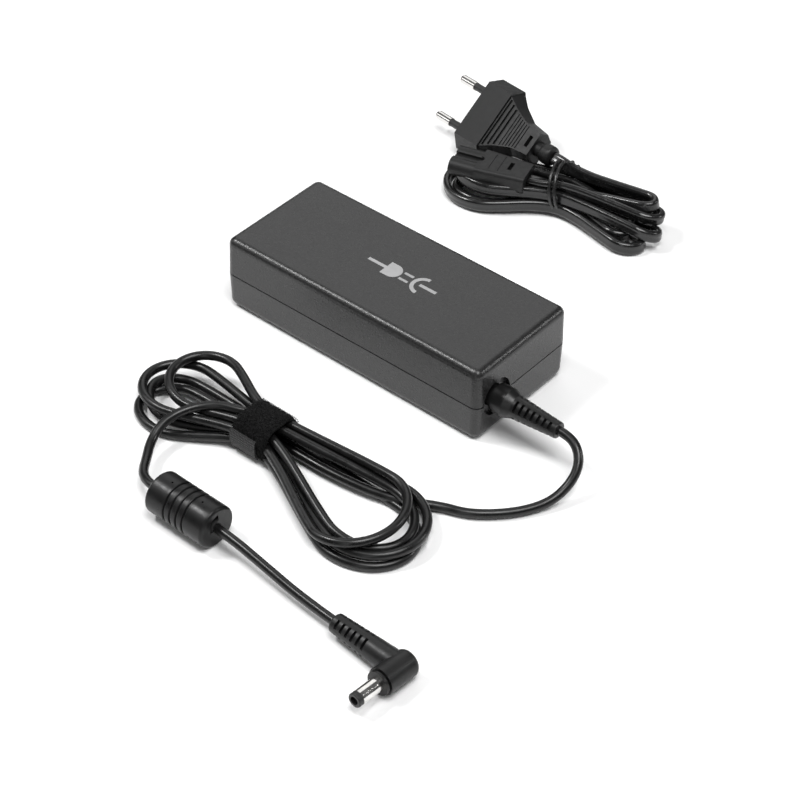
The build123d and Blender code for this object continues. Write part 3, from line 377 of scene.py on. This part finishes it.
def add_mains_cord():
    """The flat cord as a mesh swept along its line. Its broad way stands upright in the hank
    and turns to match the connector and the plug at its two ends."""
    curve = nurbs_curve("mains_line", mains_cord_points())
    line = read_line(curve)
    bpy.data.curves.remove(curve)
    section = twin_section()
    turn_reach = 22.0 * MM
    lean_most, lean_run = 0.22, 70 * MM
    runs = [0.0]
    for a, b in zip(line, line[1:]):
        runs.append(runs[-1] + (b - a).length)
    verts = []
    for index, point in enumerate(line):
        forward = (line[min(index + 1, len(line) - 1)] - line[max(index - 1, 0)]).normalized()
        lean = lean_most * math.sin(runs[index] / lean_run)
        wide = Vector((0, 0, 1)) + lean * forward.cross(Vector((0, 0, 1)))
        near_start = max(0.0, 1 - runs[index] / turn_reach)
        near_end = max(0.0, 1 - (runs[-1] - runs[index]) / turn_reach)
        for share, target in ((near_start, C7_WIDTH), (near_end, -PLUG_WIDTH)):
            ease = share * share * (3 - 2 * share)
            wide = wide.lerp(target, ease)
        wide = (wide - wide.dot(forward) * forward).normalized()
        thin = forward.cross(wide)
        for across, up in section:
            verts.append(point + across * MM * wide + up * MM * thin)
    ring = len(section)
    faces = []
    for index in range(len(line) - 1):
        for step in range(ring):
            a = index * ring + step
            b = index * ring + (step + 1) % ring
            faces.append((a, b, b + ring, a + ring))
    faces.append(tuple(range(ring))[::-1])
    faces.append(tuple(range(len(verts) - ring, len(verts))))
    cord = add_mesh("mains_cord", verts, faces)
    return cord, line


dc_cord, dc_long = add_dc_cord()
mains_cord, mains_line = add_mains_cord()

# ---------------------------------------------------------------- materials


class Nodes:
    """A material's node tree, built a node at a time."""

    def __init__(self, name, base, roughness, metallic=0.0, specular=0.5, coat=0.0, sheen=0.0):
        self.material = bpy.data.materials.new(name)
        self.material.use_nodes = True
        self.tree = self.material.node_tree
        self.shader = self.tree.nodes["Principled BSDF"]
        self.shader.inputs["Base Color"].default_value = (*base, 1.0)
        self.shader.inputs["Roughness"].default_value = roughness
        self.shader.inputs["Metallic"].default_value = metallic
        self.shader.inputs["Specular IOR Level"].default_value = specular
        self.shader.inputs["Coat Weight"].default_value = coat
        self.shader.inputs["Coat Roughness"].default_value = 0.12
        self.shader.inputs["Sheen Weight"].default_value = sheen
        self.shader.inputs["Sheen Roughness"].default_value = 0.6
        self.place = self.add("ShaderNodeTexCoord").outputs["Object"]
        self.bump = None

    def add(self, kind, **settings):
        node = self.tree.nodes.new(kind)
        for key, value in settings.items():
            setattr(node, key, value)
        return node

    def link(self, source, target):
        self.tree.links.new(source, target)

    def noise(self, scale, detail=2.0, rough=0.5):
        node = self.add("ShaderNodeTexNoise")
        node.inputs["Scale"].default_value = scale
        node.inputs["Detail"].default_value = detail
        node.inputs["Roughness"].default_value = rough
        self.link(self.place, node.inputs["Vector"])
        return node.outputs["Fac"]

    def cells(self, scale):
        node = self.add("ShaderNodeTexVoronoi")
        node.inputs["Scale"].default_value = scale
        self.link(self.place, node.inputs["Vector"])
        return node.outputs["Distance"]

    def bands(self, scale, direction, distortion):
        node = self.add("ShaderNodeTexWave", bands_direction=direction)
        node.inputs["Scale"].default_value = scale
        node.inputs["Distortion"].default_value = distortion
        self.link(self.place, node.inputs["Vector"])
        return node.outputs["Fac"]

    def spread(self, source, low, high):
        """Stretches a 0 to 1 pattern to run from low to high."""
        node = self.add("ShaderNodeMapRange")
        node.inputs["From Min"].default_value = 0.3
        node.inputs["From Max"].default_value = 0.7
        node.inputs["To Min"].default_value = low
        node.inputs["To Max"].default_value = high
        self.link(source, node.inputs["Value"])
        return node.outputs["Result"]

    def ramp(self, source, dark, light):
        """A pattern turned into two colours and what lies between them."""
        node = self.add("ShaderNodeValToRGB")
        node.color_ramp.elements[0].position = 0.3
        node.color_ramp.elements[1].position = 0.7
        node.color_ramp.elements[0].color = (*dark, 1.0)
        node.color_ramp.elements[1].color = (*light, 1.0)
        self.link(source, node.inputs["Fac"])
        return node.outputs["Color"]

    def colour(self, source, dark, light):
        self.link(self.ramp(source, dark, light), self.shader.inputs["Base Color"])

    def roughness(self, source, low, high):
        self.link(self.spread(source, low, high), self.shader.inputs["Roughness"])

    def relief(self, source, depth, strength=1.0):
        """Adds a bump of that depth in metres on top of those before it."""
        node = self.add("ShaderNodeBump")
        node.inputs["Strength"].default_value = strength
        node.inputs["Distance"].default_value = depth
        self.link(source, node.inputs["Height"])
        if self.bump:
            self.link(self.bump, node.inputs["Normal"])
        self.bump = node.outputs["Normal"]
        self.link(self.bump, self.shader.inputs["Normal"])

    def worn_edges(self, amount, light):
        """Lightens sharp edges a little, as handling does."""
        geometry = self.add("ShaderNodeNewGeometry")
        edge = self.add("ShaderNodeMapRange")
        edge.inputs["From Min"].default_value = 0.52
        edge.inputs["From Max"].default_value = 0.62
        edge.inputs["To Max"].default_value = amount
        self.link(geometry.outputs["Pointiness"], edge.inputs["Value"])
        mix = self.add("ShaderNodeMix", data_type="RGBA")
        mix.inputs["B"].default_value = (*light, 1.0)
        self.link(edge.outputs["Result"], mix.inputs["Factor"])
        base = self.shader.inputs["Base Color"]
        if base.is_linked:
            self.link(base.links[0].from_socket, mix.inputs["A"])
        else:
            mix.inputs["A"].default_value = base.default_value
        self.link(mix.outputs["Result"], base)


def grey(value):
    return (value, value, value * 1.01)


def moulded_case(name, tone):
    """Spark-eroded ABS: an even fine grain under a satin surface, with faint flow marks."""
    grain_deep = 0.00007
    m = Nodes(name, grey(tone), 0.34)
    m.colour(m.noise(60, 4), grey(tone * 0.9), grey(tone * 1.1))
    m.roughness(m.noise(900, 3, 0.6), 0.25, 0.37)
    m.relief(m.cells(1500), grain_deep, 0.55)
    m.relief(m.noise(5200, 2, 0.7), grain_deep * 0.6, 0.5)
    m.worn_edges(0.25, grey(tone * 1.8))
    return m.material


def moulded_pvc(name, tone, roughness, specular=0.5):
    """Soft moulded plastic, smoother than the case, with a slight mottled gloss."""
    m = Nodes(name, grey(tone), roughness, specular=specular)
    m.colour(m.noise(110, 4), grey(tone * 0.8), grey(tone * 1.2))
    m.roughness(m.noise(420, 4, 0.6), roughness - 0.07, roughness + 0.08)
    m.relief(m.noise(2400, 3, 0.6), 0.00003, 0.45)
    m.relief(m.noise(160, 2), 0.0001, 0.12)
    m.worn_edges(0.2, grey(tone * 2.4))
    return m.material


def cord_pvc(name, tone, roughness, coat, specular=0.5):
    """Extruded cord jacket: fine lengthwise drag marks and a soft uneven gloss."""
    m = Nodes(name, grey(tone), roughness, specular=specular, coat=coat)
    m.colour(m.noise(90, 3), grey(tone * 0.8), grey(tone * 1.25))
    m.roughness(m.noise(260, 4, 0.6), roughness - 0.06, roughness + 0.08)
    m.relief(m.noise(1500, 3, 0.6), 0.00003, 0.35)
    m.relief(m.noise(70, 2), 0.0002, 0.18)
    return m.material


def bright_metal(name, base, roughness=0.14):
    """Nickel plate with fine turning marks and a few dull patches."""
    m = Nodes(name, base, roughness, metallic=1.0)
    m.colour(m.noise(300, 3), tuple(c * 0.82 for c in base), base)
    m.roughness(m.noise(700, 4, 0.7), roughness * 0.6, roughness * 1.7)
    m.relief(m.noise(3800, 2, 0.6), 0.00001, 0.3)
    return m.material


def hook_and_loop():
    """The strap's pile: matted fine loops, nearly black, lit only at their tips."""
    m = Nodes("strap_pile", grey(0.004), 0.95, specular=0.06, sheen=0.03)
    m.colour(m.cells(1400), grey(0.001), grey(0.010))
    m.relief(m.cells(1700), 0.0006, 0.9)
    m.relief(m.noise(3200, 4, 0.8), 0.0003, 0.8)
    return m.material


def woven_tape():
    """The strap's flap: a close woven tape, lighter than the pile."""
    m = Nodes("strap_weave", grey(0.03), 0.7, specular=0.2, sheen=0.1)
    weft = m.bands(420, "X", 0.6)
    warp = m.bands(300, "Z", 0.6)
    mix = m.add("ShaderNodeMath", operation="MULTIPLY")
    m.link(weft, mix.inputs[0])
    m.link(warp, mix.inputs[1])
    m.colour(mix.outputs["Value"], grey(0.012), grey(0.05))
    m.relief(mix.outputs["Value"], 0.0003, 0.8)
    m.relief(m.noise(2600, 3, 0.7), 0.0001, 0.6)
    return m.material


def plain_material(name, base, roughness, grain=1800, depth=0.00003):
    """The hidden pieces' finish: one colour broken up by a mottle and a fine grain."""
    m = Nodes(name, base, roughness)
    m.colour(m.noise(140, 4), tuple(c * 0.8 for c in base), base)
    m.roughness(m.noise(500, 3), roughness - 0.06, roughness + 0.06)
    m.relief(m.noise(grain, 3, 0.6), depth, 0.5)
    return m.material


def wound(name, base, pitch, direction):
    """Wire or tape in turns: fine parallel ridges."""
    m = Nodes(name, base, 0.35)
    turns = m.bands(pitch, direction, 0.3)
    m.colour(turns, tuple(c * 0.55 for c in base), base)
    m.relief(turns, 0.0003, 0.8)
    return m.material


SLOT_MATERIALS = {
    "housing_upper": moulded_case("case_upper", 0.013),
    "housing_lower": moulded_case("case_lower", 0.016),
    "label": plain_material("label_film", grey(0.06), 0.35, grain=3000),
    "inlet_plastic": moulded_pvc("inlet_plastic", 0.02, 0.35),
    "nickel": bright_metal("nickel", (0.80, 0.79, 0.77)),
    "board": plain_material("solder_mask", (0.06, 0.17, 0.05), 0.35),
    "aluminium": bright_metal("aluminium", (0.72, 0.73, 0.74), 0.32),
    "film": plain_material("insulating_film", (0.75, 0.75, 0.7), 0.3),
    "thermal_pad": plain_material("thermal_pad", (0.45, 0.5, 0.6), 0.8),
    "component_black": plain_material("component_black", grey(0.02), 0.45),
    "component_blue": plain_material("component_blue", (0.02, 0.08, 0.28), 0.3),
    "component_green": plain_material("component_green", (0.02, 0.12, 0.05), 0.35),
    "component_yellow": plain_material("component_yellow", (0.62, 0.42, 0.05), 0.4),
    "ferrite": plain_material("ferrite", grey(0.035), 0.6, grain=900, depth=0.0001),
    "copper": wound("copper_winding", (0.62, 0.22, 0.09), 260, "Z"),
    "can_sleeve": plain_material("can_sleeve", (0.02, 0.02, 0.05), 0.3),
    "bobbin": plain_material("bobbin", grey(0.05), 0.5),
    "winding_tape": wound("winding_tape", (0.62, 0.45, 0.06), 200, "Z"),
    "wire_red": plain_material("wire_red", (0.4, 0.01, 0.01), 0.35),
    "relief_rubber": moulded_pvc("relief_rubber", 0.006, 0.34, 0.36),
    "bead_plastic": moulded_pvc("bead_plastic", 0.006, 0.34, 0.30),
    "plug_plastic": moulded_pvc("plug_plastic", 0.008, 0.40, 0.36),
    "insulator": moulded_pvc("insulator", 0.012, 0.42),
    "mains_plastic": moulded_pvc("mains_plastic", 0.009, 0.44, 0.34),
    "brass": bright_metal("brass", (0.78, 0.56, 0.25), 0.25),
    "dc_cord": cord_pvc("dc_cord_jacket", 0.005, 0.30, 0.0, 0.42),
    "mains_cord": cord_pvc("mains_cord_jacket", 0.009, 0.22, 0.15),
    "tie": cord_pvc("tie_jacket", 0.008, 0.3, 0.1),
    "strap": hook_and_loop(),
}
WEAVE = woven_tape()
# Painted shade: a near-black colour for the faces inside the bead's end recesses, where shadow
# falls
RECESS_PAINTED_SHADE = plain_material("bead_recess_painted_shade", grey(0.001), 0.7)
PRINT = plain_material("print_grey", grey(0.36), 0.55, grain=2600)


def paint(piece, material):
    piece.data.materials.clear()
    piece.data.materials.append(material)


def paint_frame():
    """Every CAD node takes its slot's finish."""
    for row in frame["record"]["subparts"]:
        piece = frame["nodes"][row["node"]]
        for slot in range(max(1, len(piece.material_slots))):
            if not piece.material_slots:
                piece.data.materials.append(None)
            piece.material_slots[slot].material = SLOT_MATERIALS[row["material_slot"]]


paint_frame()


def paint_shade_in_bead_recess():
    """The C-shaped recesses in the bead's ends are deep, so their faces take a near-black colour:
    painted shade standing in for the shadow inside them.
    """
    jacket = frame["nodes"]["ferrite_jacket"]
    jacket.data.materials.append(RECESS_PAINTED_SHADE)
    first = Vector(TAIL_ROUTE[0])
    last = first + BEAD_LONG * BEAD_ALONG
    middle, axis = (first + last) / 2, (last - first).normalized()
    for face in jacket.data.polygons:
        offset = jacket.matrix_world @ face.center / MM - middle
        along = offset.dot(axis)
        inside = (offset - along * axis).length < BEAD_RECESS_R
        if inside and BEAD_RECESS[0] < abs(along) < BEAD_RECESS[1]:
            face.material_index = len(jacket.data.materials) - 1


paint_shade_in_bead_recess()

# ---------------------------------------------------------------- strap


def strap_outline(grow, count):
    """Points round the bundle grown outwards, as (across, up) from its middle, counted evenly."""
    wide, tall = BUNDLE_WIDE + 2 * grow, BUNDLE_TALL + 2 * grow
    corner = BUNDLE_ROUND + grow
    straight = [(wide - 2 * corner), (tall - 2 * corner)]
    quarter = math.pi * corner / 2
    lengths = [straight[1], quarter, straight[0], quarter] * 2
    total = sum(lengths)
    corners = [(1, 1), (-1, 1), (-1, -1), (1, -1)]
    points = []
    for step in range(count):
        at = total * step / count
        side = 0
        while at > lengths[side]:
            at -= lengths[side]
            side += 1
        cx, cy = corners[side // 2]
        cx *= wide / 2 - corner
        cy *= tall / 2 - corner
        turn = math.pi / 2 * (side // 2)
        if side % 2:
            angle = turn + at / corner
            points.append((cx + corner * math.cos(angle), cy + corner * math.sin(angle)))
        else:
            back = lengths[side] - at
            tangent = (-math.sin(turn), math.cos(turn))
            points.append((
                cx + corner * math.cos(turn) - tangent[0] * back,
                cy + corner * math.sin(turn) - tangent[1] * back,
            ))
    return points


def add_strap():
    """The hook-and-loop band: closed round the bundle, its outside made uneven by noise and its
    two edges rounded over."""
    steps = 26
    rough, grain, fine_grain = 0.42, 0.9, 3.1
    edge_drop, edge_steps = 0.7, 4
    lowest = 0.05
    count = STRAP_POINTS
    verts, faces = [], []
    for outside, outline in enumerate((strap_outline(0, count), strap_outline(STRAP_THICK, count))):
        for step in range(steps + 1):
            share = step / steps
            x = STRAP_SPAN[0] + (STRAP_SPAN[1] - STRAP_SPAN[0]) * share
            for y, z in outline:
                lift = 0.0
                sway = 0.0
                if outside:
                    spot = Vector((x * grain, y * grain, z * grain))
                    lift = rough * (noise.noise(spot) + 0.6 * noise.noise(spot * fine_grain))
                    edge = min(share, 1 - share) * steps
                    lift -= edge_drop * max(0.0, 1 - edge / edge_steps) ** 2
                    if edge < 1:
                        sway = 0.5 * rough * noise.noise(spot * 2.3)
                norm = math.hypot(y, z)
                verts.append(Vector((
                    x + sway,
                    STRAP_MIDDLE[0] + y * (1 + lift / norm),
                    max(lowest, STRAP_MIDDLE[1] + z * (1 + lift / norm)),
                )) * MM)
    outer = (steps + 1) * count
    for base in (0, outer):
        for step in range(steps):
            for index in range(count):
                a = base + step * count + index
                b = base + step * count + (index + 1) % count
                quad = (a, b, b + count, a + count)
                faces.append(quad if base else quad[::-1])
    for step in (0, steps):
        for index in range(count):
            a = step * count + index
            b = step * count + (index + 1) % count
            quad = (a, b, b + outer, a + outer)
            faces.append(quad[::-1] if step else quad)
    strap = add_mesh("cable_strap_band", verts, faces)
    paint(strap, SLOT_MATERIALS["strap"])
    return strap


def add_pile():
    """Short curled fibres standing on the strap's outside."""
    rng = random.Random(7)
    fibres, around = 5200, 400
    thick, sunk, past_edge, lowest = 0.035, 0.15, 0.05, 0.5
    outer = strap_outline(STRAP_THICK, around)
    verts, faces = [], []
    for _ in range(fibres):
        index = rng.randrange(around)
        y, z = outer[index]
        x = rng.uniform(STRAP_SPAN[0] - past_edge, STRAP_SPAN[1] + past_edge)
        y_next, z_next = outer[(index + 1) % around]
        along = Vector((0, y_next - y, z_next - z)).normalized()
        out = Vector((0, along.z, -along.y))
        root = Vector((x, STRAP_MIDDLE[0] + y, STRAP_MIDDLE[1] + z)) - sunk * out
        if root.z < lowest:
            continue
        sweep = Vector((rng.gauss(0, 1), 0, 0)) + rng.gauss(0, 1) * along
        high = rng.uniform(0.3, 0.75)
        side = sweep.normalized().cross(out) * thick
        arch = 0.45 * sweep.normalized()
        spine = [root, root + high * out + 0.4 * arch, root + 0.75 * high * out + 1.3 * arch]
        start = len(verts)
        for point in spine:
            verts += [point * MM + side * MM, point * MM - side * MM]
        faces += [(start, start + 1, start + 3, start + 2)]
        faces += [(start + 2, start + 3, start + 5, start + 4)]
    pile = add_mesh("cable_strap_pile", verts, faces)
    paint(pile, SLOT_MATERIALS["strap"])
    return pile


def add_flap():
    """The woven end of the strap, lapped over the low front of the band, with a cut edge."""
    gap, thick = 0.15, 0.8
    flap_low, flap_high = -5.6, 3.4
    starts_in, flap_long = 0.3, 12.2
    waviness, wave_scale = 0.08, 0.3
    steps = 20
    inner = strap_outline(STRAP_THICK + gap, STRAP_POINTS)
    spots = [(y, z) for y, z in inner if y < 0 and flap_low < z < flap_high]
    spots.sort(key=lambda spot: spot[1])
    verts, faces = [], []
    x0, x1 = STRAP_SPAN[0] + starts_in, STRAP_SPAN[0] + flap_long
    for layer in (0.0, thick):
        for step in range(steps + 1):
            x = x0 + (x1 - x0) * step / steps
            for index, (y, z) in enumerate(spots):
                before = spots[max(index - 1, 0)]
                after = spots[min(index + 1, len(spots) - 1)]
                along = Vector((after[0] - before[0], after[1] - before[1])).normalized()
                out = Vector((-along.y, along.x))
                wave = waviness * noise.noise(wave_scale * Vector((x, y, z)))
                verts.append(Vector((
                    x,
                    STRAP_MIDDLE[0] + y + (layer + wave) * out.x,
                    STRAP_MIDDLE[1] + z + (layer + wave) * out.y,
                )) * MM)
    across = len(spots)
    sheet = (steps + 1) * across
    for base, flip in ((0, True), (sheet, False)):
        for step in range(steps):
            for index in range(across - 1):
                a = base + step * across + index
                quad = (a, a + across, a + across + 1, a + 1)
                faces.append(quad[::-1] if flip else quad)
    rim = list(range(across))
    rim += [step * across + across - 1 for step in range(1, steps + 1)]
    rim += [steps * across + index for index in range(across - 2, -1, -1)]
    rim += [step * across for step in range(steps - 1, 0, -1)]
    for a, b in zip(rim, rim[1:] + rim[:1]):
        faces.append((a, b, b + sheet, a + sheet))
    flap = add_mesh("cable_strap_flap", verts, faces)
    bevel = flap.modifiers.new("soft edge", "BEVEL")
    bevel.width = 0.2 * MM
    bevel.segments = 2
    bevel.angle_limit = math.radians(50)
    paint(flap, WEAVE)
    return flap


strap = add_strap()
pile = add_pile()
flap = add_flap()

# ---------------------------------------------------------------- wire tie


def add_tie():
    """The thin coated wire round the mains hank: two turns, leaning, their ends twisted."""
    turns, steps, pitch = 2, 28, 2.2
    across, tall = 10.2, 9.6
    middle_t, middle_z = -0.6, 10.6
    lean = 0.16
    points = []
    for step in range(turns * steps + 1):
        angle = 2 * math.pi * step / steps + math.radians(60)
        drift = (step / steps - turns / 2) * pitch
        z = middle_z + tall * math.sin(angle)
        s = drift - lean * (z - 10.5)
        points.append(Vector(in_hank((s, across * math.cos(angle) + middle_t, z))))
    tail_from = points[-1]
    tail_steps, tail_long, tail_drop = 8, 4.5, 1.5
    for step in range(1, tail_steps + 1):
        share = step / tail_steps
        turn = share * 3 * math.pi
        points.append(tail_from + Vector((
            tail_long * share,
            1.2 + 0.5 * math.cos(turn),
            0.6 * math.sin(turn) - tail_drop * share,
        )))
    curve = nurbs_curve("twist_tie_wire", [tuple(p) for p in points])
    curve.bevel_depth = TIE_R * MM
    curve.bevel_resolution = 4
    curve.use_fill_caps = True
    tie = bpy.data.objects.new("twist_tie_wire", curve)
    bpy.context.collection.objects.link(tie)
    paint(tie, SLOT_MATERIALS["tie"])
    return tie


tie = add_tie()

# ---------------------------------------------------------------- printed symbol


def add_print():
    """A generic printed symbol on the brick's top: a plain plug and socket, each on its lead."""
    centre_x, centre_y = 4.0, 0.0
    above, thick = 0.02, 0.03
    half_long, lead_half = 16.5, 0.75
    plug_back, plug_r = 8.0, 3.9
    pin_half, pin_offset, pin_from, pin_to = 0.6, 1.9, -0.2, 4.2
    socket_x, socket_out, socket_in, socket_lead = centre_x + 10.2, 5.2, 3.6, 8.6
    z = BRICK_TALL + above
    bm = bmesh.new()

    def slab(outline):
        low = [bm.verts.new(Vector((x, y, z)) * MM) for x, y in outline]
        high = [bm.verts.new(Vector((x, y, z + thick)) * MM) for x, y in outline]
        bm.faces.new(high)
        bm.faces.new(low[::-1])
        for a, b, c, d in zip(low, low[1:] + low[:1], high[1:] + high[:1], high):
            bm.faces.new((a, b, c, d))

    def bar(x0, x1, y, half):
        slab([(x0, y - half), (x1, y - half), (x1, y + half), (x0, y + half)])

    def arc(middle, radius, first, last, steps=14):
        turns = [math.radians(first + (last - first) * k / steps) for k in range(steps + 1)]
        return [(middle + radius * math.cos(t), centre_y + radius * math.sin(t)) for t in turns]

    back = centre_x - plug_back
    bar(centre_x - half_long, back, centre_y, lead_half)
    nose = arc(centre_x - 4.6, plug_r, -90, 90)
    slab([(back, centre_y - plug_r)] + nose + [(back, centre_y + plug_r)])
    for y in (centre_y - pin_offset, centre_y + pin_offset):
        bar(centre_x + pin_from, centre_x + pin_to, y, pin_half)
    slab(arc(socket_x, socket_out, 90, 270) + arc(socket_x, socket_in, 270, 90))
    bar(centre_x + socket_lead, centre_x + half_long, centre_y, lead_half)
    mesh = bpy.data.meshes.new("top_symbol")
    bm.to_mesh(mesh)
    bm.free()
    symbol = bpy.data.objects.new("top_symbol", mesh)
    bpy.context.collection.objects.link(symbol)
    paint(symbol, PRINT)
    return symbol


symbol = add_print()

# ---------------------------------------------------------------- floor and light


def add_floor():
    """A plain pale floor, wide enough to fill the view."""
    half = 6.0
    corners = [(-half, -half, 0), (half, -half, 0), (half, half, 0), (-half, half, 0)]
    floor = add_mesh("floor", corners, [(0, 1, 2, 3)], smooth=False)
    m = Nodes("floor_white", (0.93, 0.93, 0.93), 0.9, specular=0.1)
    paint(floor, m.material)


def add_area(name, place, aim, size, power, size_y=None):
    """A flat lamp, square unless it has a second size."""
    data = bpy.data.lights.new(name, "AREA")
    data.energy = power
    data.size = size
    if size_y:
        data.shape = "RECTANGLE"
        data.size_y = size_y
    light = bpy.data.objects.new(name, data)
    light.location = place
    light.rotation_euler = (Vector(aim) - Vector(place)).to_track_quat("-Z", "Y").to_euler()
    bpy.context.collection.objects.link(light)


def add_lights():
    """Soft studio light: a dim surround, a wide panel behind and one above, two keys, two fills."""
    world = bpy.data.worlds.new("studio")
    world.use_nodes = True
    world.node_tree.nodes["Background"].inputs["Color"].default_value = (1.0, 1.0, 1.0, 1.0)
    world.node_tree.nodes["Background"].inputs["Strength"].default_value = 0.10
    bpy.context.scene.world = world
    add_area("back_panel", (-0.70, 0.87, 0.99), (0, 0, 0), 1.1, 4.4)
    add_area("overhead", (0.40, -0.20, 1.30), (0, 0, 0), 0.7, 15.0)
    add_area("key", (-0.57, -0.34, 1.0), (0, 0, 0), 0.22, 6.5)
    add_area("right_kicker", (0.83, 0.73, 0.60), (0, 0, 0), 0.22, 2.2)
    add_area("left_panel", (-1.1, -0.7, 0.8), (0, -0.02, 0.02), 0.6, 2.2)
    add_area("front_strip", (0.5, -1.2, 0.55), (0.0, 0, 0.02), 0.25, 1.5, size_y=1.0)


add_floor()
add_lights()
bpy.context.scene.view_settings.view_transform = "Standard"

# ---------------------------------------------------------------- who rides on what

paint(dc_cord, SLOT_MATERIALS["dc_cord"])
paint(mains_cord, SLOT_MATERIALS["mains_cord"])

for piece, body, slot in (
    (dc_cord, "adapter", "dc_cord"),
    (strap, "adapter", "strap"),
    (pile, "adapter", "strap"),
    (flap, "adapter", "strap"),
    (symbol, "adapter", "label"),
    (mains_cord, "mains_lead", "mains_cord"),
    (tie, "mains_lead", "tie"),
):
    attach(piece, body)

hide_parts("dc_cord_lead", "dc_cord_coil", "dc_cord_link", "dc_cord_tail")
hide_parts("cable_strap")
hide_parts("mains_cord_hank")
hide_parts("twist_tie")
